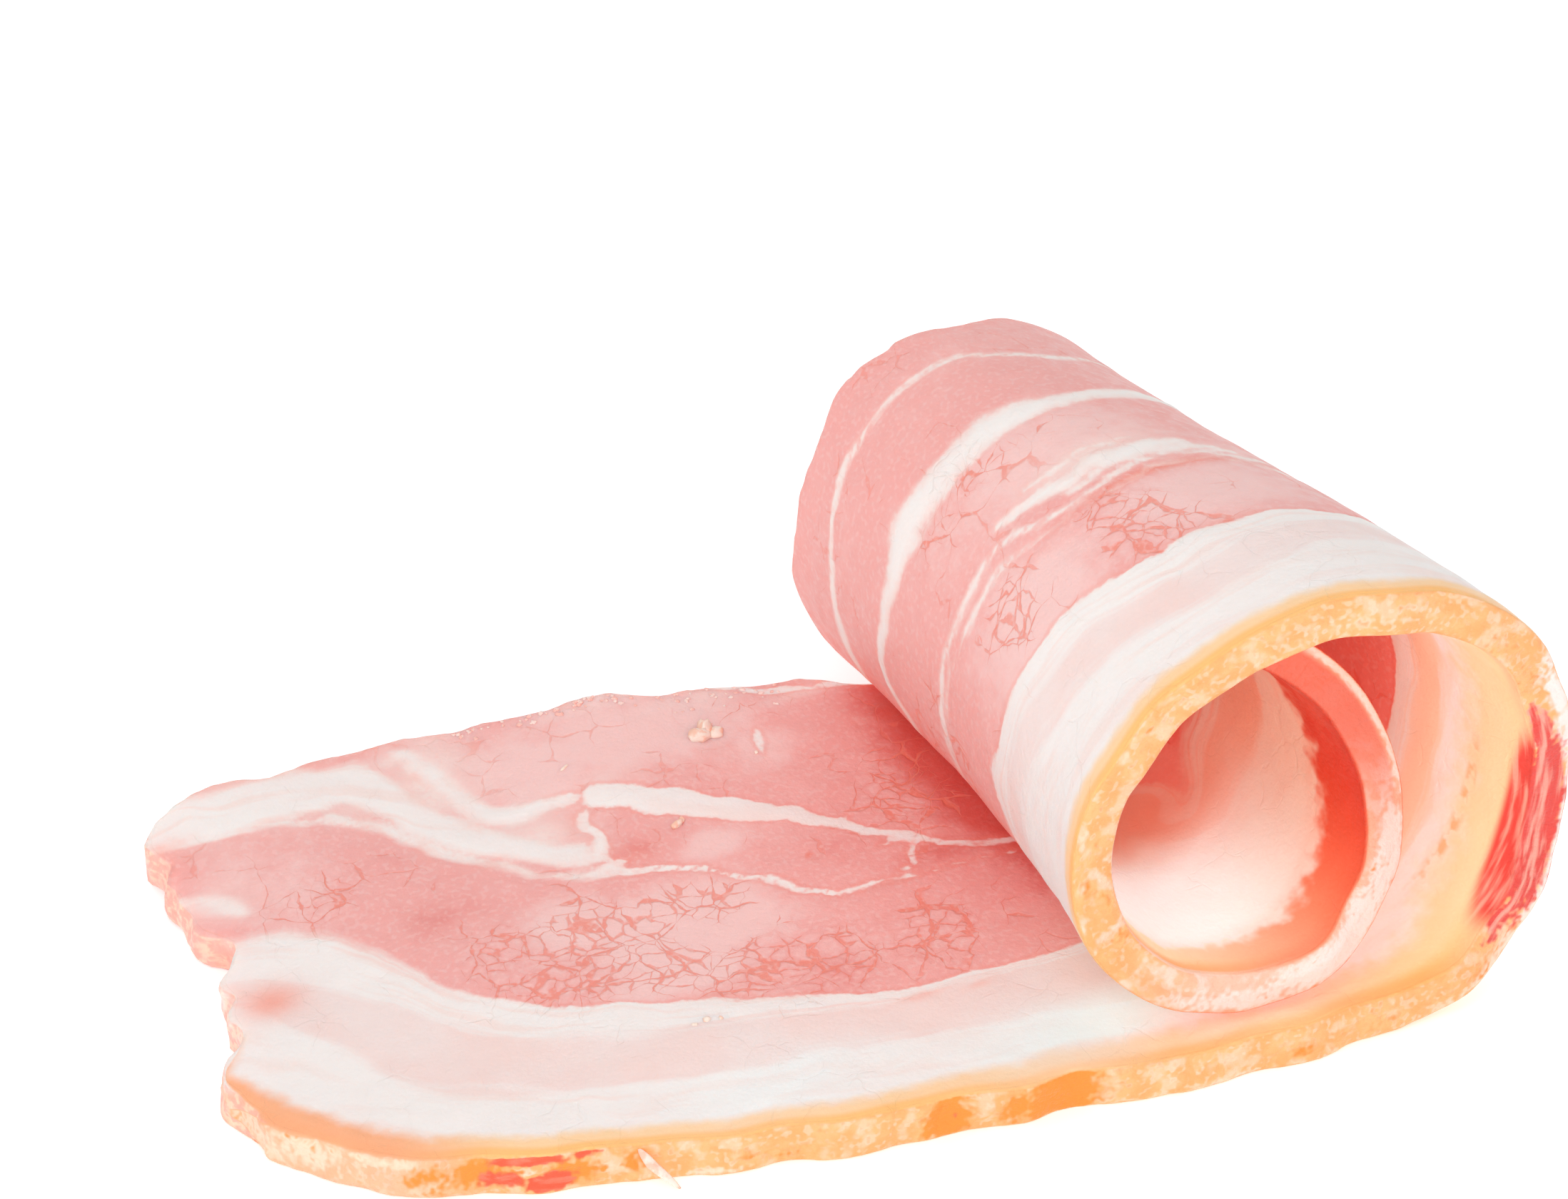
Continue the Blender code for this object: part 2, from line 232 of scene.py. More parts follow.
# Lean washed over with fat
PALE_LEAN = (
    (22.0, 44.5, 3.4, 4.5, 0.95), (27.0, 38.0, 3.4, 2.2, 0.85), (8.0, 47.5, 9.0, 2.6, 0.9),
    (16.5, 46.0, 3.4, 3.0, 0.8), (23.5, 47.5, 3.0, 4.0, 0.85), (27.5, 36.2, 2.6, 2.4, 0.9),
    (20.5, 49.0, 2.0, 1.5, 0.9), (30.0, 35.0, 1.6, 2.2, 0.5), (3.0, 39.0, 3.0, 2.0, 0.6),
    (115.0, 22.0, 6.0, 1.2, 0.8), (106.0, 20.0, 4.0, 0.8, 0.5), (34.5, 39.5, 2.5, 1.2, 0.4),
    (45.0, 45.3, 4.0, 1.2, 0.6), (37.0, 47.3, 6.0, 0.9, 0.55), (53.0, 42.8, 3.5, 0.7, 0.6),
)
# Where the lean is cracked into bundles
CRACKED = (
    (25.5, 23.0, 6.5, 5.5, 1.0), (20.0, 25.5, 4.0, 4.0, 0.6), (37.5, 16.5, 5.5, 4.0, 1.0),
    (31.0, 19.0, 4.0, 3.0, 0.8), (47.5, 15.0, 4.0, 3.0, 0.8), (53.0, 30.0, 3.5, 3.5, 0.8),
    (34.0, 25.0, 4.0, 2.5, 0.7), (10.0, 36.0, 5.0, 5.0, 0.35), (45.0, 43.0, 4.0, 3.0, 0.35),
    (116.0, 14.0, 4.0, 4.0, 1.0), (126.5, 16.5, 2.5, 3.0, 0.8), (140.0, 22.0, 6.0, 4.0, 0.7),
    (122.0, 28.0, 8.0, 3.0, 0.5), (95.0, 26.0, 7.0, 5.0, 0.7), (100.0, 14.0, 4.0, 3.0, 0.5),
)


# Shape of the strip


def blended(curvature):
    """Curvature along the path, averaged twice over BEND_BLEND so that its jumps become ramps."""
    reach = int(BEND_BLEND / PATH_STEP) | 1
    window = np.ones(reach) / reach
    for _ in range(2):
        padded = np.pad(curvature, reach, mode="edge")
        curvature = np.convolve(padded, window, "same")[reach:-reach]
    return curvature


def roll_profile():
    """s, x, z and heading of the middle line at y = 0: heading sums curvature, place sums heading."""
    bends = ((FLAT_RUN, 0),) + ROLL_BENDS
    total = sum(length for length, _ in bends)
    s = np.arange(0, total + PATH_STEP / 2, PATH_STEP)
    curvature = np.zeros_like(s)
    start = 0.0
    for length, degrees in bends:
        curvature[(s >= start) & (s <= start + length)] = math.radians(degrees) / length
        start += length
    heading = np.cumsum(blended(curvature)) * PATH_STEP
    x = FLAT_START + np.append(0, np.cumsum(np.cos(heading[:-1]))) * PATH_STEP
    z = THICKNESS / 2 + np.append(0, np.cumsum(np.sin(heading[:-1]))) * PATH_STEP
    return s, x, z, heading


def flowing(points, place):
    """Height at place of a smooth curve through the points: cubic pieces, level where they peak."""
    at, height = np.array(points, float).T
    rise = np.diff(height) / np.diff(at)
    slope = np.concatenate(([rise[0]], np.zeros(len(at) - 2), [rise[-1]]))
    same_way = rise[:-1] * rise[1:] > 0
    both = rise[:-1] + rise[1:]
    slope[1:-1][same_way] = 2 * rise[:-1][same_way] * rise[1:][same_way] / both[same_way]
    place = np.clip(place, at[0], at[-1])
    i = np.clip(np.searchsorted(at, place) - 1, 0, len(at) - 2)
    step = at[i + 1] - at[i]
    t = (place - at[i]) / step
    near = (2 * t**3 - 3 * t**2 + 1) * height[i] + (t**3 - 2 * t**2 + t) * step * slope[i]
    far = (3 * t**2 - 2 * t**3) * height[i + 1] + (t**3 - t**2) * step * slope[i + 1]
    return near + far


def waves(parts, place):
    """Sum of sine waves, each height * sin(2 pi * place / length + phase)."""
    return sum(height * np.sin(2 * np.pi * place / length + phase) for height, length, phase in parts)


def round_corner(along, across, radii):
    """Distances from two edges, squeezed so that their square corner becomes a quarter ellipse."""
    p = np.clip(1 - along / radii[0], 0, 1)
    q = np.clip(1 - across / radii[1], 0, 1)
    inside = (p > 0) & (q > 0)
    along = np.where(inside, radii[0] * (1 - p * np.sqrt(1 - q * q / 2)), along)
    across = np.where(inside, radii[1] * (1 - q * np.sqrt(1 - p * p / 2)), across)
    return along, across


def place_on_strip(u, v, length):
    """s, y and width share v for shares along and across: corners rounded, then the wavy edges."""
    along, across = round_corner(u * length, v * STRIP_WIDTH, LEFT_RIND_CORNER)
    along, back = round_corner(along, STRIP_WIDTH - across, LEFT_MEAT_CORNER)
    rest, across = round_corner(length - along, STRIP_WIDTH - back, INNER_RIND_CORNER)
    rest, back = round_corner(rest, STRIP_WIDTH - across, INNER_MEAT_CORNER)
    s, v = length - rest, 1 - back / STRIP_WIDTH
    stands_out = flowing(CUT_END, v) + waves(CUT_WAVES, v * STRIP_WIDTH)
    s = s - stands_out * (1 - s / length) ** CUT_END_FADE
    rind = flowing(RIND_EDGE, s) + waves(RIND_WAVES, s)
    meat = flowing(MEAT_EDGE, s) + waves(MEAT_WAVES, s)
    return s, rind + (meat - rind) * v, v


def lift(s, v):
    """Rise of the flat part's meat edge: height * share past LIFT_FROM squared * (1 - cos of s) / 2."""
    edge = np.clip((v - LIFT_FROM) / (1 - LIFT_FROM), 0, 1) ** 2
    fade = np.clip((LIFT_END - s) / LIFT_FADE, 0, 1)
    return LIFT_HEIGHT * edge * fade * (1 - np.cos(2 * np.pi * s / LIFT_WAVE + LIFT_PHASE)) / 2


def dents(s, y):
    """Shallow dents of the outer turn: depth * sin of s * sin of y, faded at both ends."""
    fade = np.clip((s - DENT_RUN[0]) / DENT_FADE, 0, 1) * np.clip((DENT_RUN[1] - s) / DENT_FADE, 0, 1)
    return DENT_DEPTH * fade * np.sin(s / DENT_SIZE[0]) * np.sin(y / DENT_SIZE[1] + DENT_PHASE)


def local_thickness(s, v):
    """Thickness at a place: less towards the meat edge, times lumps that are sine times sine."""
    along = np.sin(s / LUMP_SIZE[0] + LUMP_TURNS[0] * v)
    across = np.sin(s / LUMP_SIZE[1] + LUMP_TURNS[1] * v)
    return THICKNESS * (1 - (1 - MEAT_EDGE_SHARE) * v - LUMP_SHARE * (1 - along * across))


def sheet_point(s, y, v, height, path):
    """Point at a height over the underside: the profile's point at s shrinks towards CONE_X as y
    grows, the left side moves in by PINCH * (1 - e to the -y / depth), and the height is laid off
    along the profile's normal, minus sine and plus cosine of its heading."""
    path_s, path_x, path_z, path_heading = path
    x, z, heading = (np.interp(s, path_s, values) for values in (path_x, path_z, path_heading))
    x = x + np.minimum(s, 0)
    shrink = 1 - y / CONE_DISTANCE
    below = THICKNESS / 2 + dents(s, y) - height
    pinch = PINCH * (1 - np.exp(-np.clip(y, 0, None) / PINCH_DEPTH))
    left_side = np.where(s > FLAT_RUN, np.clip(-np.sin(heading), 0, 1), 0)
    x = CONE_X + (x - CONE_X) * shrink + np.sin(heading) * below + pinch * left_side
    z = THICKNESS / 2 + (z - THICKNESS / 2) * shrink - np.cos(heading) * below
    return np.stack([x - ORIGIN[0], y - ORIGIN[1], z + lift(s, v)], -1)


# Noise and fields on the strip


def smooth_noise(seed, *places):
    """Noise from -1 to 1: random numbers at whole places, blended between them by 3t^2 - 2t^3."""
    table = np.random.default_rng(seed).uniform(-1, 1, (NOISE_SIDE,) * len(places))
    cells = [np.floor(place).astype(int) for place in places]
    parts = [place - cell for place, cell in zip(places, cells)]
    parts = [t * t * (3 - 2 * t) for t in parts]
    total = 0.0
    for corner in itertools.product((0, 1), repeat=len(places)):
        weight = np.prod([t if far else 1 - t for far, t in zip(corner, parts)], axis=0)
        at = tuple((cell + far) % NOISE_SIDE for cell, far in zip(cells, corner))
        total = total + weight * table[at]
    return total


def cloudy(seed, s, y, scale, octaves):
    """Cloudy noise about 0.5: noise at scales that double and strengths that halve, summed."""
    scales = [scale * 2**i for i in range(octaves)]
    total = sum(0.5**i * smooth_noise(seed + i, s * size, y * size) for i, size in enumerate(scales))
    return 0.5 + 0.3 * total / (2 - 0.5 ** (octaves - 1))


def ramp(value, low, high):
    """0 below low, 1 above high, and 3t^2 - 2t^3 between them."""
    t = ramp_straight(value, low, high)
    return t * t * (3 - 2 * t)


def ramp_straight(value, low, high):
    """0 below low, 1 above high, and a straight line between them."""
    return np.clip((value - low) / (high - low), 0, 1)


def above_border(s, y, border):
    """Distance of y past a border curve, shortened where the curve is steep: dy / sqrt(1 + slope^2)."""
    slope = flowing(border, s + 0.5) - flowing(border, s - 0.5)
    return (y - flowing(border, s)) / np.sqrt(1 + slope * slope)


def stroke_depth(s, y, stroke):
    """Depth inside a stroke: half width there less distance to its line, the most of its pieces."""
    depth = np.full_like(s, -99.0)
    for (s0, y0, w0), (s1, y1, w1) in zip(stroke[:-1], stroke[1:]):
        ds, dy = s1 - s0, y1 - y0
        t = np.clip(((s - s0) * ds + (y - y0) * dy) / (ds * ds + dy * dy), 0, 1)
        depth = np.maximum(depth, w0 + (w1 - w0) * t - np.hypot(s - s0 - ds * t, y - y0 - dy * t))
    return depth


def spots(s, across, marks):
    """Strength of soft oval spots: the most of strength * e to the -(distance in reaches squared)."""
    strength = np.zeros_like(s)
    for at, height, reach, reach_across, most in marks:
        far = ((s - at) / reach) ** 2 + ((across - height) / reach_across) ** 2
        strength = np.maximum(strength, most * np.exp(-far))
    return strength


def whorled(s, y):
    """Places turned about each whorl's middle by turn * e to the -(distance / reach)^2."""
    for middle_s, middle_y, reach, degrees in WHORLS:
        ds, dy = s - middle_s, y - middle_y
        turn = math.radians(degrees) * np.exp(-(ds * ds + dy * dy) / reach**2)
        s = middle_s + ds * np.cos(turn) - dy * np.sin(turn)
        y = middle_y + ds * np.sin(turn) + dy * np.cos(turn)
    return s, y


def moved(s, y, height):
    """Places shifted by noise, more so towards the underside, so that no border runs ruler straight."""
    under = 1 - height / THICKNESS
    shift = 0.4 * smooth_noise(11, s / 3.1, y / 2.3, height / 3)
    shift = shift + 0.16 * smooth_noise(12, s / 1.3, y / 0.9, height)
    drift = 1.6 * under * smooth_noise(13, s / 9, y / 7)
    return whorled(s + 0.5 * shift, y + shift + drift)


def layers(s, y):
    """Depth inside the lean and inside the pale streak, in millimetres, less than 0 outside each.

    Lean lies between its two borders and again beyond the far one, less the strokes of fat."""
    near = above_border(s, y, LEAN_NEAR)
    far = above_border(s, y, LEAN_FAR)
    fat_gap = 0.04 + 0.46 * ramp(s, 34, 30)
    lean = np.maximum(np.minimum(near, -far), far - fat_gap)
    for stroke in FAT_STROKES:
        lean = np.minimum(lean, -stroke_depth(s, y, stroke))
    streak = np.minimum(above_border(s, y, STREAK_NEAR), -above_border(s, y, STREAK_FAR))
    return np.clip(lean, -4, 4), np.clip(streak, -4, 4)


def layer_count(s, y):
    """Layers crossed from the rind edge: each pair of borders is one layer, filled in proportion."""
    tables = (RIND_EDGE, STREAK_NEAR, STREAK_FAR, LEAN_NEAR, LEAN_FAR, MEAT_EDGE)
    borders = [flowing(table, s) for table in tables]
    pairs = zip(borders[:-1], borders[1:])
    return sum(np.clip((y - low) / np.maximum(high - low, 0.3), 0, 1) for low, high in pairs)


def border_softness(s, y):
    """How gently lean turns to fat: soft at the cut end and in the mass of fat behind the main lean."""
    low_left = ramp(s, 21, 11) * ramp(above_border(s, y, LEAN_NEAR), 8, 3)
    behind = ramp(s, 33, 27) * ramp(above_border(s, y, LEAN_FAR), -2.5, -0.5)
    on_roll = ramp(s, 98, 106) * ramp(y, 13.5, 16)
    inner_turn = ramp(s, 138, 146)
    return np.clip(0.12 + 0.8 * low_left + 0.35 * behind + 0.25 * on_roll + 0.5 * inner_turn, 0, 1)


def crack_field(s, y, cracked):
    """Place of the crack pattern, pushed about by noise, and how far its cracks stand open there."""
    shift_s = 0.6 * smooth_noise(51, s * 0.45, y * 0.45) + 0.3 * smooth_noise(52, s * 1.3, y * 1.3)
    shift_y = 0.6 * smooth_noise(53, s * 0.45, y * 0.45) + 0.3 * smooth_noise(54, s * 1.3, y * 1.3)
    width = 0.035 + 0.095 * ramp(cloudy(41, s, y, 0.9, 2), 0.45, 0.72)
    torn = ramp(cloudy(43, s, y, 0.34, 2) + 0.3 * cracked, 0.52, 0.7)
    return np.stack([(s + shift_s) * 0.85, y + shift_y, width * torn], -1)


def shelter(s, y, top):
    """How far round in the roll a place is, 0 outside and 1 inside: the upper face past the flat part,
    partly also the front of the flat part beside the roll, and the underside of the inner turn. This share
    sets the painted shade and the painted glow in the roll."""
    front = ramp(y, 26, 8) * (0.35 + 0.35 * ramp(y, 7, 2))
    upper = front * ramp(s, 47, 60) + (1 - front) * ramp(s, 64, 78)
    return np.where(top, upper, ramp(s, 138, 152))


def roll_shade_depth(s, y, top):
    """How deep behind the rim a place in the roll lies, for painted shade: tones there deepen and redden as
    where light has met meat many times.
    """
    outer_turn = 0.75 * ramp(y, 0, 16) * ramp(s, 62, 76)
    inner_turn = np.maximum(ramp(s, 148, 168), 0.9 * ramp(y, 7, 15))
    upper = outer_turn + (inner_turn - outer_turn) * ramp(s, 128, 142)
    return np.where(top, upper, ramp(s, 138, 152))


# The rasher's skin


def border_loop(rows, columns):
    """Numbers of a lattice's border points, once round: rind edge, inner end, meat edge, cut end."""
    grid = np.arange(rows * columns).reshape(rows, columns)
    return np.concatenate([grid[:, 0], grid[-1, 1:], grid[-2::-1, -1], grid[0, -2:0:-1]])


def outward(s, y):
    """Outward direction of the closed outline: the chord between neighbours, turned a quarter."""
    ds, dy = (np.roll(value, -2) - np.roll(value, 2) for value in (s, y))
    size = np.hypot(ds, dy) + 1e-9
    return dy / size, -ds / size


def distance_to(s, y, outline_s, outline_y, extra):
    """Least distance to the outline's points, each with its own extra added."""
    least = np.full(len(s), 99.0)
    for block in np.array_split(np.arange(len(s)), 60):
        away = np.hypot(s[block, None] - outline_s, y[block, None] - outline_y) + extra
        least[block] = away.min(1)
    return least


def face_relief(s, y, height, lean):
    """Rise and fall of a cut face: broad swells, fat a little proud of lean, a groove on their border."""
    swell = 0.07 * smooth_noise(21, s / 8, y / 6, height)
    swell = swell + 0.045 * smooth_noise(22, s / 2.2, y / 1.8, height)
    groove = 0.07 * np.exp(-((lean + 0.05) / 0.28) ** 2)
    return swell + 0.05 * ramp(-lean, -0.4, 0.4) - groove


def edge_relief(s, y, height, side_s, side_y):
    """How far the edge wall stands out: scored rind, torn cut end, and grains at the meat edge."""
    rind = ramp(-side_y, 0.35, 0.75)
    cut_end = ramp(-side_s, 0.35, 0.75)
    meat = ramp(side_y, 0.35, 0.75)
    scored = 0.13 * smooth_noise(31, s / 3.0, height / 1.6) + 0.08 * smooth_noise(32, s / 0.9, height / 0.7)
    chipped = -0.3 * ramp(spots(s, height, RED_ON_EDGE) + spots(s, height, ORANGE_ON_EDGE), 0.5, 1.0)
    torn = 0.34 * smooth_noise(33, y / 1.5, height / 2.6) + 0.16 * smooth_noise(34, y / 0.6, height / 0.8)
    grains = 0.16 * smooth_noise(35, s / 1.1, height / 0.9) + 0.08 * smooth_noise(36, s / 0.5, height / 0.5)
    return rind * (scored + 0.5 * chipped) + cut_end * torn + meat * grains


def strip_fields(s, y, height, edge, rim, top):
    """The fields that the skin carries, three numbers each, from its places on the strip. Stains, with the
    painted shade of the crimson crescent and the painted light spots among them, are placed by s and height
    on the edge wall and by s and y on the faces."""
    on_edge = ramp(-edge, 0.0, 0.12)
    red, orange, pale = (on_edge * spots(s, height, wall) + (1 - on_edge) * spots(s, y, face)
                         for wall, face in ((RED_ON_EDGE, RED_ON_FACE), (ORANGE_ON_EDGE, CORAL_ON_FACE),
                                            (PALE_ON_EDGE, PAINTED_LIGHT_ON_FACE)))
    moved_s, moved_y = moved(s, y, height)
    lean, streak = layers(moved_s, moved_y)
    deepness = spots(s, y, DEEP_LEAN_AND_SHADE) - spots(s, y, LIGHT_LEAN)
    cracked = spots(s, y, CRACKED)
    cloud = cloudy(45, s, y + 0.5 * height, 0.16, 3)
    # Share of painted shade and painted glow in the roll, faded out towards the edge wall
    sheltered = shelter(s, y, top) * ramp(edge, -0.2, 1.6)
    depth = roll_shade_depth(s, y, top) * (1 - 0.7 * on_edge)
    return {
        "strip": np.stack([s, y, height], -1),
        "layer": np.stack([lean, streak, rim], -1),
        # Red, orange and pale marks: stains, with painted shade in the red and painted light in the pale
        "stain_shade_and_light": np.stack([red, orange, pale], -1),
        # Its third number is that share of painted shade and glow
        "edge": np.stack([edge, layer_count(moved_s, moved_y), sheltered], -1),
        # First number: the depth of painted shade in the roll, less on the edge wall
        "depth": np.stack([depth, spots(s, y, PALE_LEAN), cloud], -1),
        "meat": np.stack([deepness, cracked, border_softness(s, y)], -1),
        "crack": crack_field(s, y, cracked),
    }


def skin_faces(rows, columns, loop, wall_rows):
    """Faces of the upper lattice, the lower one turned over, and the wall's rings from below upwards."""
    count = rows * columns
    grid = np.arange(count).reshape(rows, columns)
    quads = np.stack([grid[:-1, :-1], grid[1:, :-1], grid[1:, 1:], grid[:-1, 1:]], -1).reshape(-1, 4)
    between = 2 * count + np.arange(wall_rows * len(loop)).reshape(wall_rows, len(loop))
    rings = np.vstack([loop + count, between, loop])
    after = np.roll(rings, -1, axis=1)
    wall = np.stack([rings[:-1], after[:-1], after[1:], rings[1:]], -1).reshape(-1, 4)
    return np.concatenate([quads, quads[:, ::-1] + count, wall])


def rasher_skin():
    """Vertices, faces and fields of the rasher: two lattices, one at each face, and a wall round them."""
    path = roll_profile()
    length = path[0][-1]
    row_at, along_at = np.array(ROWS_ALONG, float).T
    along_at[-1] = length
    column_at, across_at = np.array(ROWS_ACROSS, float).T
    u = np.interp(np.arange(row_at[-1] + 1), row_at, along_at) / length
    v = np.interp(np.arange(column_at[-1] + 1), column_at, across_at) / STRIP_WIDTH
    rows, columns = len(u), len(v)
    u, v = (grid.ravel() for grid in np.meshgrid(u, v, indexing="ij"))
    s, y, v = place_on_strip(u, v, length)
    loop = border_loop(rows, columns)
    side_s, side_y = outward(s[loop], y[loop])
    thick = local_thickness(s, v)

    on_rind = (side_y < -0.3) | ((side_s < -0.3) & (y[loop] < CORNER_END))
    fading = CORNER_EXTRA * ramp_straight(y[loop], *CORNER_FADE) * (s[loop] < CORNER_RUN)
    rind_away = distance_to(s, y, s[loop][on_rind], y[loop][on_rind], fading[on_rind])
    any_away = distance_to(s, y, s[loop], y[loop], 0.0)

    share = np.array(WALL_ROWS)[1:-1, None]
    bulge = WALL_BULGE * (1 - np.abs(2 * share - 1) ** WALL_SQUARENESS) ** (1 / WALL_SQUARENESS)
    wall_height = share * thick[loop]
    wall_s, wall_y = s[loop] + 0 * share, y[loop] + 0 * share
    envelope = np.sqrt(bulge / WALL_BULGE)
    wall_sides = side_s + 0 * share, side_y + 0 * share
    out = bulge + envelope * edge_relief(wall_s, wall_y, wall_height, *wall_sides)
    wall_s, wall_y = wall_s + out * side_s, wall_y + out * side_y
    wall_v = v[loop] + 0 * share
    wall_depth = np.minimum(share, 1 - share) * thick[loop]
    wall_rind = np.where(on_rind, fading - wall_depth, rind_away[loop])

    lean_upper, lean_under = (layers(*moved(s, y, height))[0] for height in (thick, 0 * thick))
    flat_away = ramp(s, FLAT_RUN - 6, FLAT_RUN + 3)
    edge_fade = ramp(any_away, 0.0, 1.2)
    upper = thick + edge_fade * face_relief(s, y, 3.0 + 0 * s, lean_upper)
    under = edge_fade * flat_away * face_relief(s, y, 0 * s, lean_under) * -1

    all_s = np.concatenate([s, s, wall_s.ravel()])
    all_y = np.concatenate([y, y, wall_y.ravel()])
    all_v = np.concatenate([v, v, wall_v.ravel()])
    all_height = np.concatenate([upper, under, wall_height.ravel()])
    points = sheet_point(all_s, all_y, all_v, all_height, path)

    band = np.concatenate([flowing(BAND_UPPER, s), np.full_like(s, BAND_UNDER), np.ones(wall_s.size)])
    rind = np.concatenate([rind_away, rind_away, wall_rind.ravel()])
    rim = np.where(rind > 0, rind / band, rind)
    edge = np.concatenate([any_away, any_away, -wall_depth.ravel()])
    nominal = np.concatenate([thick, 0 * thick, wall_height.ravel()])
    top = np.concatenate([s > -99, s < -99, wall_height.ravel() > THICKNESS / 2])
    fields = strip_fields(all_s, all_y, nominal, edge, rim, top)
    return points, skin_faces(rows, columns, loop, len(share)), fields


def mesh_piece(name, points, faces, material, fields=None):
    """A smooth piece from points in millimetres and faces of one size, with its fields as attributes."""
    mesh = bpy.data.meshes.new(name)
    points, faces = np.asarray(points, float), np.asarray(faces)
    mesh.vertices.add(len(points))
    mesh.vertices.foreach_set("co", (points * MM).ravel())
    mesh.loops.add(faces.size)
    mesh.loops.foreach_set("vertex_index", faces.ravel())
    mesh.polygons.add(len(faces))
    mesh.polygons.foreach_set("loop_start", np.arange(len(faces)) * faces.shape[1])
    mesh.update(calc_edges=True)
    mesh.polygons.foreach_set("use_smooth", np.ones(len(faces), bool))
    for field, values in (fields or {}).items():
        attribute = mesh.attributes.new(field, "FLOAT_VECTOR", "POINT")
        attribute.data.foreach_set("vector", np.ascontiguousarray(values, float).ravel())
    mesh.materials.append(material)
    piece = bpy.data.objects.new(name, mesh)
    bpy.context.scene.collection.objects.link(piece)
    return piece


# Crumbs and loose bits


# Points from pole to pole of a crumb and round it
CRUMB_RINGS = 9
CRUMB_SPOKES = 12


def crumb(middle, sizes, turn, seed):
    """Points and faces of a crumb: a ball with noise on its radius, closed at both poles."""
    rings, spokes = CRUMB_RINGS, CRUMB_SPOKES
    polar = np.linspace(0, np.pi, rings)[1:-1, None]
    round_ = np.arange(spokes)[None, :] * 2 * np.pi / spokes
    across, up = np.sin(polar), np.cos(polar) + 0 * round_
    shell = np.stack([across * np.cos(round_), across * np.sin(round_), up], -1)
    shell = np.concatenate([[[0, 0, 1.0]], shell.reshape(-1, 3), [[0, 0, -1.0]]])
    rough = 1 + 0.28 * smooth_noise(seed, *(shell * 1.7 + 9).T)
    rough = rough + 0.14 * smooth_noise(seed + 1, *(shell * 4 + 9).T)
    shell = shell * rough[:, None] * np.array(sizes)
    cos, sin = math.cos(turn), math.sin(turn)
    x, y, z = shell.T
    shell = np.stack([x * cos - y * sin, x * sin + y * cos, z], -1)
    grid = 1 + np.arange((rings - 2) * spokes).reshape(rings - 2, spokes)
    after = np.roll(grid, -1, axis=1)
    body = np.stack([grid[:-1], grid[1:], after[1:], after[:-1]], -1).reshape(-1, 4)
    top = np.stack([0 * grid[0], grid[0], after[0]], -1)
    bottom = np.stack([0 * grid[0] + len(shell) - 1, after[-1], grid[-1]], -1)
    triangles = np.concatenate([body[:, [0, 1, 2]], body[:, [0, 2, 3]], top, bottom])
    return shell + np.array(middle), triangles


def joined(parts):
    """Points and faces of several parts as one: each part's numbers moved past those before it."""
    starts = np.cumsum([0] + [len(points) for points, _ in parts[:-1]])
    return (np.concatenate([points for points, _ in parts]),
            np.concatenate([faces + start for (_, faces), start in zip(parts, starts)]))


def crumbs_at(places, seed, raised):
    """Points and faces of crumbs on the upper face, given as s, y, half length, half width, half height
    and turn; raised is the share of the half height that the middle stands above the face."""
    path = roll_profile()
    parts = []
    for number, (s, y, wide, deep, tall, turn) in enumerate(places):
        s, y = np.array([s]), np.array([y])
        v = ramp_straight(y, flowing(RIND_EDGE, s), flowing(MEAT_EDGE, s))
        middle = sheet_point(s, y, v, local_thickness(s, v) + raised * tall, path)[0]
        parts.append(crumb(middle, (wide, deep, tall), turn, seed + number))
    return joined(parts)


# Crumbs of fat on the upper face: s, y, half length, half width, half height, turn in radians
FAT_CRUMBS = (
    (42.6, 41.0, 0.75, 0.75, 0.42, 0.4), (43.4, 41.7, 0.85, 0.5, 0.5, 1.1),
    (44.0, 41.0, 0.45, 0.6, 0.32, 2.0), (36.4, 32.8, 0.55, 0.22, 0.22, 0.3),
    (36.9, 33.1, 0.25, 0.2, 0.2, 1.3), (28.3, 13.4, 0.22, 0.2, 0.16, 0.0),
    (29.2, 13.5, 0.3, 0.24, 0.2, 0.7), (30.1, 13.3, 0.18, 0.16, 0.14, 1.4),
    (31.8, 41.8, 0.4, 0.12, 0.1, 0.5), (45.6, 37.9, 0.2, 0.14, 0.1, 0.9),
)
# Loose grains of meat: the run of s they lie on, and how many
GRAIN_RUN = (26, 51)
GRAINS = 90


def meat_grains():
    """Grains torn loose along the meat edge of the flat part, placed by a seeded draw."""
    rng = np.random.default_rng(5)
    s = rng.uniform(*GRAIN_RUN, GRAINS)
    edge = flowing(MEAT_EDGE, s) + waves(MEAT_WAVES, s)
    y = edge - rng.uniform(0.1, 1.0, s.size) ** 2 * np.where(s > 40, 2.6, 1.1)
    size = rng.uniform(0.10, 0.24, s.size)
    turn = rng.uniform(0, 3, s.size)
    return crumbs_at(list(zip(s, y, size, size * 0.8, size * 0.45, turn)), seed=300, raised=-0.25)


# Middle line of the shaving of fat, from inside the rind to its tip: s, y and height
SLIVER_LINE = ((21.2, 21.6, 22.8), (4.75, 3.9, 2.7), (2.5, 1.75, 0.4))
SLIVER_RINGS = 15
SLIVER_SPOKES = 10


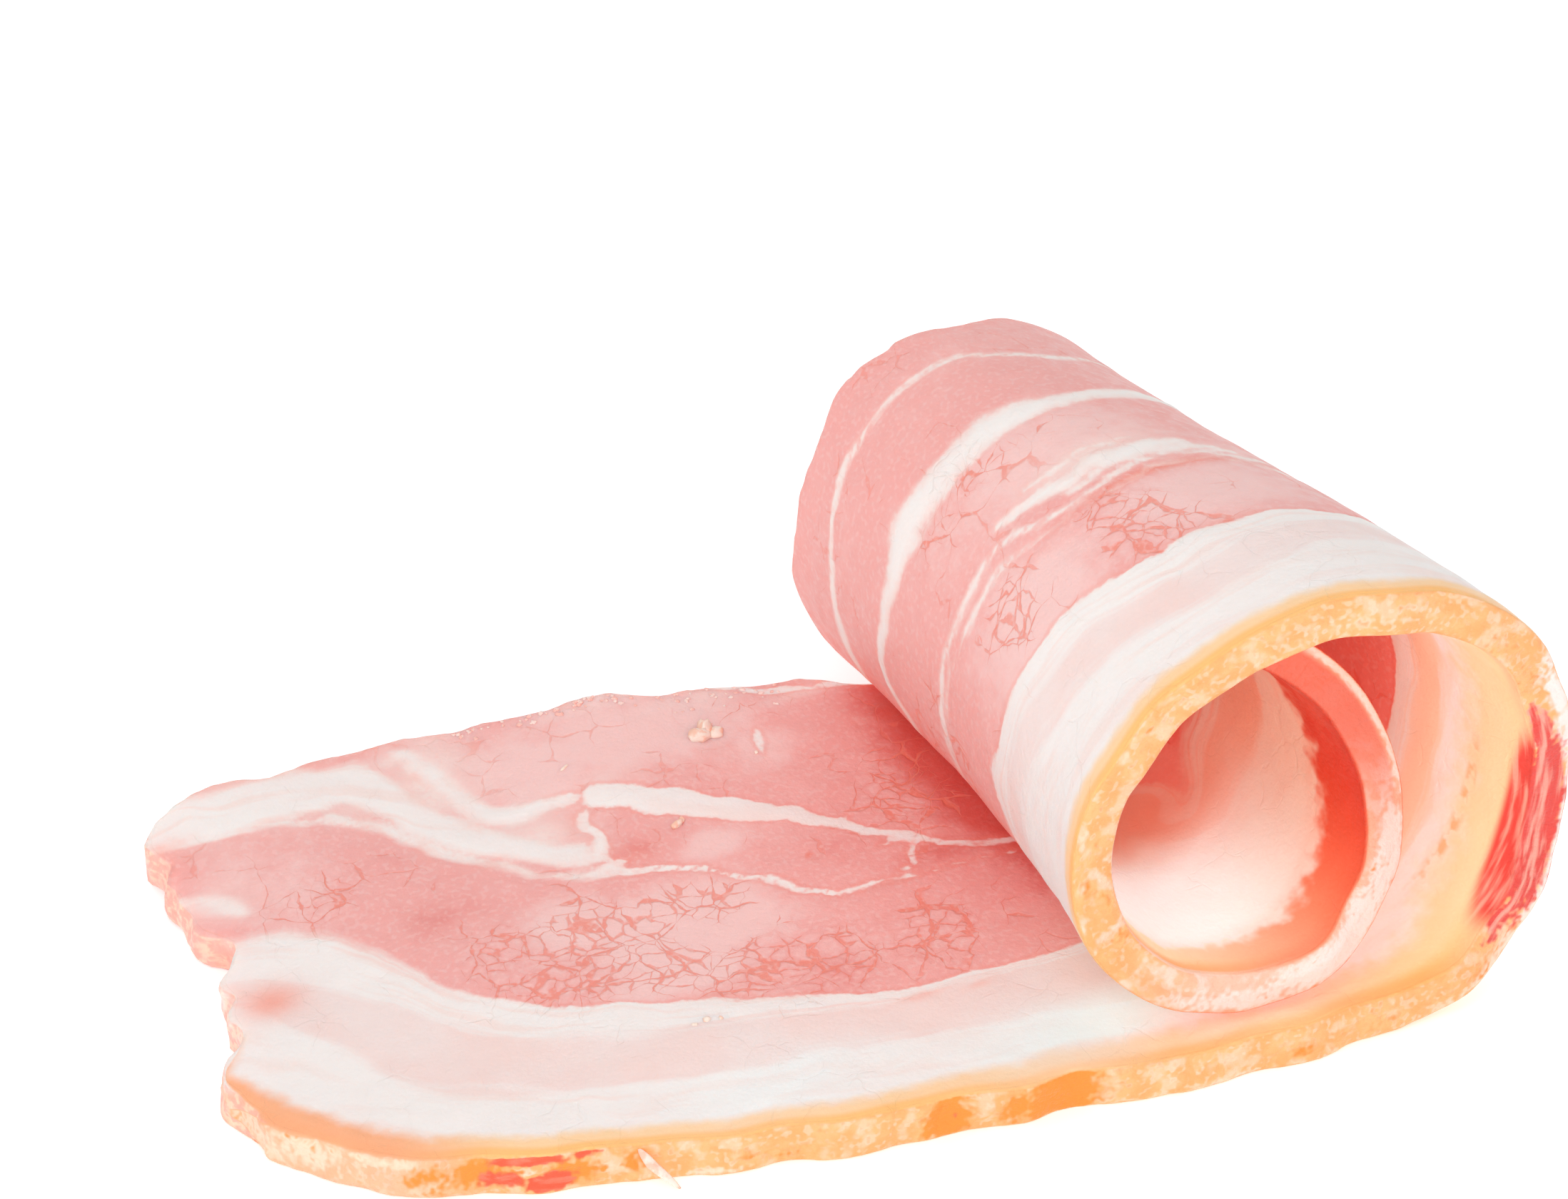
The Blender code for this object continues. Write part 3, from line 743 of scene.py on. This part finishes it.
def rind_sliver():
    """Points and faces of a thin curled shaving of fat that hangs off the rind edge: a tapered tube."""
    along = np.linspace(0, 1, SLIVER_RINGS)[:, None]
    s, y, height = (np.interp(along[:, 0], (0, 0.5, 1), values) for values in SLIVER_LINE)
    middle = np.stack([s + FLAT_START - ORIGIN[0], y - ORIGIN[1], height], -1)
    round_ = np.arange(SLIVER_SPOKES)[None, :] * 2 * np.pi / SLIVER_SPOKES
    size = 0.08 + 0.26 * np.sin(np.pi * along) ** 0.7
    across, up = size * np.cos(round_), size * np.sin(round_)
    ring = np.stack([0.9 * across, 0.75 * up, 0.25 * across], -1)
    points = (middle[:, None, :] + ring).reshape(-1, 3)
    points = np.concatenate([points, middle[:1], middle[-1:]])
    grid = np.arange(SLIVER_RINGS * SLIVER_SPOKES).reshape(SLIVER_RINGS, SLIVER_SPOKES)
    after = np.roll(grid, -1, axis=1)
    body = np.stack([grid[:-1], after[:-1], after[1:], grid[1:]], -1).reshape(-1, 4)
    first = np.stack([0 * grid[0] + grid.size, after[0], grid[0]], -1)
    last = np.stack([0 * grid[0] + grid.size + 1, grid[-1], after[-1]], -1)
    return points, np.concatenate([body[:, [0, 1, 2]], body[:, [0, 2, 3]], first, last])


# Shader wiring


class Wiring:
    """Adds nodes to one tree and wires them by short calls; each call returns an output socket."""

    def __init__(self, tree):
        self.tree = tree

    def node(self, kind, inputs, **settings):
        """A node with its settings, whose inputs are fed with sockets or plain values."""
        node = self.tree.nodes.new(kind)
        for name, value in settings.items():
            setattr(node, name, value)
        self.feed(node, inputs)
        return node

    def feed(self, node, inputs):
        """Sockets joined to a node's inputs, and plain values set on them as constants."""
        for key, value in inputs.items():
            if isinstance(value, bpy.types.NodeSocket):
                self.tree.links.new(value, node.inputs[key])
            else:
                node.inputs[key].default_value = value

    def field(self, name):
        """Vector of one of the piece's own fields."""
        settings = {"attribute_type": "GEOMETRY", "attribute_name": name}
        return self.node("ShaderNodeAttribute", {}, **settings).outputs["Vector"]

    def split(self, vector):
        """The three numbers of a vector."""
        return self.node("ShaderNodeSeparateXYZ", {0: vector}).outputs

    def calc(self, operation, first, second=0.0, third=0.0):
        """One sum, product or other step on numbers."""
        return self.node("ShaderNodeMath", {0: first, 1: second, 2: third}, operation=operation).outputs[0]

    def times(self, first, *others):
        """Product of two or more numbers."""
        for other in others:
            first = self.calc("MULTIPLY", first, other)
        return first

    def plus(self, value, share, base):
        """A share of a value added to a base."""
        return self.calc("MULTIPLY_ADD", value, share, base)

    def swayed(self, base, noise, reach):
        """A base number swayed by noise about its middle: base + reach * (noise - 0.5)."""
        return self.plus(self.calc("SUBTRACT", noise, 0.5), reach, base)

    def near(self, value, middle, none, full):
        """1 within the full distance of a middle, 0 past the none distance, and soft between."""
        return self.ramp(self.calc("ABSOLUTE", self.calc("SUBTRACT", value, middle)), none, full)

    def within(self, value, rise, fall):
        """A soft step up times a soft step down, each given as its two ends."""
        return self.times(self.ramp(value, *rise), self.ramp(value, *fall))

    def ramp(self, value, low, high, start=0.0, end=1.0):
        """Smooth step from start at low to end at high."""
        inputs = {"Value": value, "From Min": low, "From Max": high, "To Min": start, "To Max": end}
        return self.node("ShaderNodeMapRange", inputs, interpolation_type="SMOOTHSTEP").outputs["Result"]

    def noise(self, place, scale, detail):
        """Cloudy noise from 0 to 1."""
        inputs = {"Vector": place, "Scale": scale, "Detail": detail}
        return self.node("ShaderNodeTexNoise", inputs).outputs[0]

    def stretched(self, place, scale):
        """A place with its three numbers multiplied."""
        return self.node("ShaderNodeVectorMath", {0: place, 1: scale}, operation="MULTIPLY").outputs[0]

    def cells(self, place, scale):
        """Distance to the nearest border between cells of the place's first two numbers, times scale."""
        inputs = {"Vector": place, "Scale": scale}
        settings = {"feature": "DISTANCE_TO_EDGE", "voronoi_dimensions": "2D"}
        return self.node("ShaderNodeTexVoronoi", inputs, **settings).outputs["Distance"]

    def bumped(self, height, distance):
        """Normal of a surface with relief of a distance in millimetres."""
        inputs = {"Strength": 0.5, "Distance": distance * MM, "Height": height}
        return self.node("ShaderNodeBump", inputs).outputs["Normal"]

    def deepened(self, tone, power):
        """A colour raised to a power, so that a pale one turns warmer and a strong one deeper."""
        return self.node("ShaderNodeGamma", {"Color": tone, "Gamma": power}).outputs[0]

    def blend(self, share, first, second, how="MIX"):
        """Mix of two colours, or their product in part."""
        inputs = {0: share, 6: first, 7: second}
        return self.node("ShaderNodeMix", inputs, data_type="RGBA", blend_type=how).outputs[2]

    def coated(self, tone, *coats):
        """A colour under coats laid on one after another, each a share and a colour."""
        for share, coat in coats:
            tone = self.blend(share, tone, coat)
        return tone


def colour(red, green, blue):
    """A linear colour with full alpha."""
    return (red, green, blue, 1.0)


WHITE = colour(1, 1, 1)
BLACK = colour(0, 0, 0)
FAT_WHITE = colour(0.90, 0.84, 0.81)
# Fat as lit, for the painted light spots
FAT_LIT = colour(0.86, 0.96, 0.96)
FAT_WARM = colour(0.91, 0.75, 0.70)
STREAK_PALE = colour(0.89, 0.735, 0.70)
STREAK_PINK = colour(0.90, 0.68, 0.635)
STREAK_IN_ROLL_SHADE = colour(0.93, 0.69, 0.50)
FAT_VEIL = colour(0.91, 0.66, 0.61)
LEAN_LIGHT = colour(0.91, 0.58, 0.55)
LEAN_MID = colour(0.88, 0.405, 0.375)
LEAN_DEEP = colour(0.74, 0.14, 0.115)
LEAN_CRACK = colour(0.87, 0.24, 0.17)
CORAL = colour(0.93, 0.42, 0.34)
BAND_YELLOW = colour(0.95, 0.65, 0.36)
BAND_LINE = colour(0.94, 0.53, 0.18)
BAND_PEACH = colour(0.94, 0.42, 0.22)
BAND_CORAL = colour(0.91, 0.41, 0.285)
RIND_PEACH = colour(0.94, 0.415, 0.155)
RIND_CREAM = colour(0.94, 0.48, 0.205)
RIND_ORANGE = colour(0.92, 0.29, 0.045)
RIND_RED = colour(0.74, 0.075, 0.06)
RIND_SCARLET = colour(0.88, 0.13, 0.05)
RIND_PALE = colour(0.94, 0.69, 0.52)
RIND_GRAIN = colour(0.93, 0.80, 0.75)
RIND_PINK = colour(0.93, 0.54, 0.42)
ROLL_SHADE = colour(0.98, 0.66, 0.52)


def surface_of(name):
    """A new material: its wiring and its Principled shader."""
    material = bpy.data.materials.new(name)
    material.use_nodes = True
    return material, Wiring(material.node_tree), material.node_tree.nodes["Principled BSDF"]


def moist_grain():
    """Group shared by meat and crumbs: fine grain and wetness from a place in millimetres."""
    group = bpy.data.node_groups.new("moist_grain", "ShaderNodeTree")
    group.interface.new_socket("Place", in_out="INPUT", socket_type="NodeSocketVector")
    group.interface.new_socket("Dryness", in_out="INPUT", socket_type="NodeSocketFloat")
    group.interface.new_socket("Grain", in_out="OUTPUT", socket_type="NodeSocketFloat")
    group.interface.new_socket("Roughness", in_out="OUTPUT", socket_type="NodeSocketFloat")
    w = Wiring(group)
    entry, leave = group.nodes.new("NodeGroupInput"), group.nodes.new("NodeGroupOutput")
    fine = w.noise(entry.outputs["Place"], 3.2, 2.0)
    coarse = w.noise(entry.outputs["Place"], 0.9, 0.0)
    grain = w.plus(fine, 0.5, w.times(coarse, 0.5))
    wet = w.ramp(coarse, 0.35, 0.65, 0.36, 0.5)
    w.feed(leave, {"Grain": grain, "Roughness": w.calc("ADD", wet, entry.outputs["Dryness"])})
    return group


def grained(w, group, place, dryness):
    """The shared grain group placed in a material, as grain and roughness."""
    node = w.tree.nodes.new("ShaderNodeGroup")
    node.node_tree = group
    w.feed(node, {"Place": place, "Dryness": dryness})
    return node.outputs["Grain"], node.outputs["Roughness"]


def fleshy(w, shader, weight, reach):
    """Light that sinks in and spreads a reach in millimetres, furthest in the red."""
    shader.subsurface_method = "BURLEY"
    w.feed(shader, {"Subsurface Weight": weight, "Subsurface Radius": (1.0, 0.28, 0.16),
                    "Subsurface Scale": reach * MM, "Specular IOR Level": 0.3})


# Stretches of the strip, each as the ends of a soft step in millimetres along it
LEFT_END = (14.0, 6.0)
RIGHT_SIDE = ((70.0, 78.0), (106.0, 98.0))
SPOT_ROW = ((74.0, 77.0), (89.0, 86.0))
SPOT_ROW_Y = 2.6
INNER_TURN = (132.0, 142.0)
PALE_CREASE = ((120.0, 132.0), (156.0, 146.0))
LEAST_CRACK = 0.001


def meat_places(w):
    """The rasher's own fields and the noises that its layers share, by name."""
    m = SimpleNamespace(place=w.field("strip"), crack_place=w.field("crack"))
    m.along, m.across, m.height = w.split(m.place)
    m.lean_depth, m.streak_depth, m.rim = w.split(w.field("layer"))
    m.red, m.orange, m.pale = w.split(w.field("stain_shade_and_light"))
    m.edge, layer, m.sheltered = w.split(w.field("edge"))
    m.depth, m.wash, m.cloud = w.split(w.field("depth"))
    m.deepness, m.cracked, m.softness = w.split(w.field("meat"))
    m.mottle = w.noise(m.place, 0.7, 2.0)
    m.speck = w.noise(m.place, 2.6, 0.0)
    m.crust = w.noise(m.place, 0.6, 3.0)
    m.streaky = w.noise(w.stretched(m.place, (0.24, 1.7, 2.2)), 1.0, 2.0)
    flow = {0: w.times(m.along, 0.10), 1: w.times(layer, 4.5), 2: w.times(m.height, 0.4)}
    m.wisps = w.noise(w.node("ShaderNodeCombineXYZ", flow).outputs[0], 1.0, 4.0)
    m.left_end = w.ramp(m.along, *LEFT_END)
    m.right_side = w.within(m.along, *RIGHT_SIDE)
    m.inner_turn = w.ramp(m.along, *INNER_TURN)
    red = w.blend(w.ramp(m.streaky, 0.42, 0.68, 0.0, 0.62), RIND_RED, RIND_PINK)
    m.red_tone = w.blend(w.ramp(m.along, 50.0, 40.0, 0.0, 0.7), red, RIND_SCARLET)
    return m


def fat_tone(w, m):
    """White fat with warm wisps along its layers, and the pale streak, tinted warmer inside the roll as
    painted shade, and fat painted as lit where the painted light spots lie.
    """
    tone = w.blend(w.ramp(m.wisps, 0.47, 0.68, 0.0, 0.8), FAT_WHITE, FAT_WARM)
    streak = w.blend(w.ramp(m.cloud, 0.4, 0.62), STREAK_PALE, STREAK_PINK)
    # Painted shade: the streak tinted warmer inside the roll, less so round the inner turn
    streak_shade_share = w.times(m.sheltered, w.plus(m.inner_turn, -0.6, 0.8))
    streak = w.blend(streak_shade_share, streak, STREAK_IN_ROLL_SHADE)
    return w.coated(
        tone,
        (w.ramp(w.swayed(m.streak_depth, m.wisps, 2.6), -0.8, 0.7, 0.0, 0.95), streak),
        # Painted light: lit fat where the painted light spots lie, on the faces off the band
        (w.times(m.pale, w.ramp(m.rim, 0.9, 1.3)), FAT_LIT),
        (w.times(m.red, 0.9), CORAL),
        (w.times(m.orange, w.ramp(m.mottle, 0.35, 0.6, 0.4, 0.8)), CORAL),
    )


def meat_cracks(w, m):
    """How cracked the lean is, and the middles of its bundles: borders of wide and of small cells, as
    wide as the field says they stand open, and bolder where the lean is marked as cracked."""
    opening = w.times(w.split(m.crack_place)[2], w.ramp(m.mottle, 0.38, 0.6, 0.35, 1.8))
    wide_width = w.calc("ADD", opening, LEAST_CRACK)
    small_width = w.plus(opening, w.ramp(m.cracked, 0.15, 0.6, 0.0, 1.6), LEAST_CRACK)
    small_cells = w.cells(m.crack_place, 0.85)
    wide = w.ramp(w.cells(m.crack_place, 0.4), wide_width, w.times(wide_width, 0.35))
    small = w.ramp(small_cells, small_width, w.times(small_width, 0.35))
    crack = w.calc("MAXIMUM", wide, w.times(small, 0.85))
    crack = w.times(crack, w.ramp(m.cracked, 0.0, 0.3, 0.4, 0.75))
    bundle = w.times(w.ramp(small_cells, 0.08, 0.35, 0.0, 0.35), w.ramp(m.cracked, 0.1, 0.6))
    return crack, bundle


def lean_tone(w, m, crack, bundle):
    """Lean that swings from light to deep by patch and cloud, with pale bundles, darker cracks, washes of
    fat and a fine sparkle of pale specks, painted glints of its wet surface."""
    # Painted shade, in part: the deep patches at the foot of the roll
    swing = w.swayed(w.swayed(m.deepness, m.cloud, 0.9), m.mottle, 0.5)
    return w.coated(
        LEAN_MID,
        (w.ramp(swing, 0.0, -0.7), LEAN_LIGHT),
        (w.ramp(swing, 0.1, 1.1), LEAN_DEEP),
        (w.times(m.red, 0.6), LEAN_CRACK),
        (w.ramp(m.wisps, 0.55, 0.75, 0.0, 0.25), LEAN_LIGHT),
        (w.times(bundle, w.ramp(swing, 0.7, 0.1)), LEAN_LIGHT),
        (crack, LEAN_CRACK),
        (w.times(m.orange, 0.7), CORAL),
        (w.times(m.wash, w.ramp(m.wisps, 0.3, 0.6, 0.6, 1.0)), FAT_WARM),
        # Painted glints: fine pale specks for the sparkle of the wet surface, fewer where the lean is deep
        (w.times(w.ramp(m.speck, 0.5, 0.74, 0.0, 0.35), w.ramp(swing, 0.9, 0.2, 0.15, 1.0)), LEAN_LIGHT),
    )


def with_lean(w, m, fat, lean):
    """Fat and lean joined on a wavering border, with a veil on its fat side and a darker line inside."""
    border = w.swayed(w.swayed(m.lean_depth, m.mottle, 0.5), m.speck, 0.2)
    border = w.plus(w.times(w.calc("SUBTRACT", m.wisps, 0.5), m.softness), 4.0, border)
    half = w.plus(m.softness, 1.1, 0.04)
    veil = w.ramp(border, w.times(half, -1.3), w.times(half, 0.3))
    tone = w.blend(w.times(veil, 0.6), fat, FAT_VEIL)
    tone = w.blend(w.ramp(border, w.times(half, -0.35), half), tone, lean)
    line = w.times(w.ramp(border, 0.0, 0.15), w.ramp(border, 0.55, 0.2, 0.0, 0.24))
    return w.blend(w.times(line, w.ramp(m.softness, 0.5, 0.2)), tone, LEAN_CRACK)


def band_tone(w, m):
    """The translucent band along the rind edge: yellow with a stronger line, paler up the right side, paler
    still as painted light where the painted light spots lie, peach at the left end, coral and then deep
    round the inner turn, that deep partly its own colour and partly painted shade, and a crimson crescent
    of painted shade at one place inside the roll."""
    # Painted shade: the crimson crescent on the upper rim, up the right side inside the roll
    crimson_shade = w.times(w.ramp(m.red, 0.35, 0.7), w.ramp(m.height, 1.0, 2.0))
    return w.coated(
        BAND_YELLOW,
        (w.times(w.ramp(m.rim, 0.5, 0.15, 0.0, 0.95), w.plus(m.right_side, -0.75, 1.0)), BAND_LINE),
        (w.times(m.right_side, 0.12), FAT_WHITE),
        # Painted light: the band paler where the painted light spots lie on the faces
        (w.times(m.pale, 0.65), FAT_WHITE),
        (w.times(m.left_end, 0.9), BAND_PEACH),
        (w.ramp(m.along, 144.0, 156.0, 0.0, 0.95), BAND_CORAL),
        # Partly painted shade: the band deepens round the inner turn, partly its own deeper colour
        (w.ramp(m.along, 154.0, 170.0, 0.0, 0.66), LEAN_DEEP),
        (w.times(m.right_side, crimson_shade), m.red_tone),
    )


def with_band(w, m, tone, band):
    """The band laid over the layers, its border lumpy, and scalloped round the inner turn, with a row
    of peach spots beside it inside the roll."""
    border = w.swayed(m.rim, m.mottle, w.plus(m.inner_turn, 0.1, 0.55))
    scallops = w.calc("SINE", w.plus(m.along, 2.1, w.times(m.cloud, 50.0)))
    border = w.plus(w.times(scallops, m.inner_turn), 0.03, border)
    outside, inside = w.plus(m.inner_turn, -0.24, 1.3), w.plus(m.inner_turn, 0.1, 0.6)
    tone = w.blend(w.ramp(border, outside, inside), tone, band)
    row = w.times(w.within(m.along, *SPOT_ROW), w.ramp(m.sheltered, 0.3, 0.7))
    row = w.times(row, w.near(m.across, SPOT_ROW_Y, 0.7, 0.1))
    return w.blend(w.times(row, w.ramp(m.mottle, 0.46, 0.6, 0.0, 0.75)), tone, RIND_PEACH)


def rind_tone(w, m, band):
    """The rind's edge wall: peach and cream crust with pale specks, pinker at both ends of the strip, and
    pale, orange and red stains with crumbly borders; the red inside the roll is a crimson crescent of
    painted shade."""
    fleck = w.swayed(w.calc("SUBTRACT", m.crust, 0.5), m.speck, 0.5)
    pale = w.coated(
        RIND_PALE,
        (w.ramp(m.along, 74.0, 82.0), RIND_GRAIN),
        (w.within(m.along, (94.0, 102.0), (140.0, 130.0)), RIND_PALE),
    )
    return w.coated(
        RIND_PEACH,
        (w.ramp(m.crust, 0.40, 0.6), RIND_CREAM),
        (w.ramp(w.plus(m.streaky, 0.5, m.speck), 0.78, 1.0, 0.0, 0.45), RIND_PALE),
        (w.ramp(m.along, 140.0, 150.0, 0.0, 0.9), RIND_PINK),
        (w.times(m.left_end, 0.5), RIND_PINK),
        (w.ramp(m.mottle, 0.5, 0.66, 0.0, 0.5), pale),
        (w.ramp(w.plus(fleck, 1.6, m.pale), 0.25, 0.85), pale),
        (w.ramp(w.plus(fleck, 1.8, m.orange), 0.2, 0.8), RIND_ORANGE),
        # Red stains on the wall, and inside the roll the crimson crescent of painted shade
        (w.ramp(w.plus(fleck, 1.1, m.red), 0.42, 0.8), m.red_tone),
        (w.times(w.ramp(m.along, 163.0, 172.0, 0.0, 0.9), w.ramp(m.height, 0.4, 0.9)), band),
    )


def with_edges(w, m, tone, rind):
    """Rind on the edge wall, a pale crease on the rim of the inner turn, and the torn wall of fat and
    lean at the cut end."""
    tone = w.blend(w.ramp(m.rim, 0.0, -0.12), tone, rind)
    rise, fall = PALE_CREASE
    crease = w.times(w.ramp(m.along, *rise, 0.0, 0.55), w.ramp(m.along, *fall))
    crease = w.times(crease, w.near(m.rim, -0.02, 0.11, 0.03), w.ramp(m.height, 1.0, 2.0))
    tone = w.blend(crease, tone, FAT_WHITE)
    torn = w.times(w.ramp(m.edge, 0.0, -0.15), w.ramp(m.rim, -0.05, 0.05))
    torn_tone = w.blend(w.ramp(m.streaky, 0.42, 0.62, 0.1, 0.9), CORAL, RIND_PALE)
    return w.blend(w.times(torn, w.ramp(m.crust, 0.35, 0.6, 0.5, 0.9)), tone, torn_tone)


def cured_meat(grain_group):
    """Layers from the rind edge inwards: crusty edge wall, translucent band, white fat with a pale streak,
    then lean with darker cracks between its bundles and strokes of fat. Inside the roll the tones are
    painted shade: they deepen and take on the roll's shade colour with the depth in the roll, and a faint
    painted glow stands for light that has passed through the meat."""
    material, w, shader = surface_of("cured_meat")
    m = meat_places(w)
    crack, bundle = meat_cracks(w, m)
    tone = with_lean(w, m, fat_tone(w, m), lean_tone(w, m, crack, bundle))
    band = band_tone(w, m)
    tone = with_band(w, m, tone, band)
    tone = with_edges(w, m, tone, rind_tone(w, m, band))
    # Painted shade: tones raised to a power that grows with the depth in the roll
    tone = w.deepened(tone, w.plus(m.depth, 0.9, 1.0))
    # Painted shade: the roll's shade colour multiplied in by the depth, or by a quarter of the shade share
    # where the painted light spots don't lie
    shade = w.times(m.sheltered, w.ramp(m.pale, 0.0, 0.8, 0.24, 0.0))
    tone = w.blend(w.calc("MAXIMUM", m.depth, shade), tone, ROLL_SHADE, "MULTIPLY")
    # Painted glow: emission inside the roll, weaker deep in it, for light passed through the meat
    glow = w.times(m.sheltered, w.ramp(m.depth, 0.0, 1.0, 1.05, 0.45))
    grain, roughness = grained(w, grain_group, m.place, 0.0)
    relief = w.plus(crack, -0.7, w.times(grain, w.ramp(m.edge, 0.05, -0.1, 1.0, 3.0)))
    w.feed(shader, {"Base Color": tone, "Roughness": roughness, "Normal": w.bumped(relief, 0.22),
                    "Emission Color": w.blend(glow, BLACK, tone), "Emission Strength": 0.34})
    fleshy(w, shader, 0.6, 2.6)
    return material


def crumb_surface(name, light, dark, grain_group):
    """Crumbs, cloudy between a light and a dark tone and grainy."""
    material, w, shader = surface_of(name)
    coordinates = w.tree.nodes.new("ShaderNodeTexCoord").outputs["Object"]
    place = w.stretched(coordinates, (1 / MM,) * 3)
    tone = w.blend(w.ramp(w.noise(place, 1.4, 3.0), 0.42, 0.6), light, dark)
    grain, roughness = grained(w, grain_group, place, 0.08)
    w.feed(shader, {"Base Color": tone, "Roughness": roughness, "Normal": w.bumped(grain, 0.12)})
    fleshy(w, shader, 0.3, 0.2)
    return material


# Stage


# Height of the floor, just under the rasher, and how far it reaches, in millimetres
FLOOR_HEIGHT = -0.02
FLOOR_REACH = 4000.0
# Lights: name, place and size in millimetres, watts
LIGHTS = (
    ("key", (-260, -160, 420), 300, 0.45),
    ("top", (120, 260, 420), 260, 0.15),
    ("front", (-170, -420, 240), 240, 0.7),
)
LIGHT_TARGET = (0, 0, 10)


def stage():
    """A white floor, wide soft lights round it and a bright even sky."""
    material, w, shader = surface_of("white_floor")
    w.feed(shader, {"Base Color": colour(0.95, 0.95, 0.95), "Roughness": 0.8, "Specular IOR Level": 0.0,
                    "Emission Color": WHITE, "Emission Strength": 0.3})
    sides = ((-1, -1), (1, -1), (1, 1), (-1, 1))
    corners = [(x * FLOOR_REACH, y * FLOOR_REACH, FLOOR_HEIGHT) for x, y in sides]
    mesh_piece("floor", corners, [(0, 1, 2, 3)], material)
    world = bpy.data.worlds.new("bright_room")
    world.use_nodes = True
    Wiring(world.node_tree).feed(world.node_tree.nodes["Background"], {"Color": WHITE, "Strength": 0.7})
    bpy.context.scene.world = world
    for name, place, size, power in LIGHTS:
        light = bpy.data.lights.new(name, "AREA")
        light.size = size * MM
        light.energy = power
        lamp = bpy.data.objects.new(name, light)
        lamp.location = Vector(place) * MM
        aim = Vector(LIGHT_TARGET) * MM - lamp.location
        lamp.rotation_euler = aim.to_track_quat("-Z", "Y").to_euler()
        bpy.context.scene.collection.objects.link(lamp)


# The photograph's view: the place it is aimed at, and the way from there to the camera
VIEW_TARGET = (17.84, 33.82, 0.0)
VIEW_OFFSET = (-156.2, -281.9, 201.4)


def camera():
    """The photograph's view: from the left, 32 degrees up, through a long lens."""
    target = Vector(VIEW_TARGET) * MM
    place = target + Vector(VIEW_OFFSET) * MM
    data = bpy.data.cameras.new("camera")
    data.sensor_fit = "HORIZONTAL"
    data.sensor_width = 36.0
    data.lens = 127.6
    data.clip_start = 0.01
    holder = bpy.data.objects.new("camera", data)
    holder.location = place
    holder.rotation_euler = (target - place).to_track_quat("-Z", "Y").to_euler()
    bpy.context.scene.collection.objects.link(holder)
    bpy.context.scene.camera = holder


def main():
    """Camera, stage and surfaces, then the rasher in place of the solid and its loose bits."""
    camera()
    stage()
    bpy.context.scene.view_settings.view_transform = "Standard"
    grain_group = moist_grain()
    meat = cured_meat(grain_group)
    fat = crumb_surface("crumb_fat", colour(0.93, 0.78, 0.68), colour(0.93, 0.56, 0.42), grain_group)
    grain = crumb_surface("crumb_lean", colour(0.95, 0.72, 0.66), colour(0.94, 0.52, 0.45), grain_group)
    points, faces, fields = rasher_skin()
    rasher = mesh_piece("rasher", points, faces, meat, fields)
    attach(rasher, "root")
    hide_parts("bacon_rasher")
    loose = (
        ("fat_crumbs", crumbs_at(FAT_CRUMBS, seed=100, raised=0.3), fat),
        ("meat_grains", meat_grains(), grain),
        ("rind_sliver", rind_sliver(), fat),
    )
    for name, part, material in loose:
        piece = mesh_piece(name, *part, material)
        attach(piece, "root")


main()
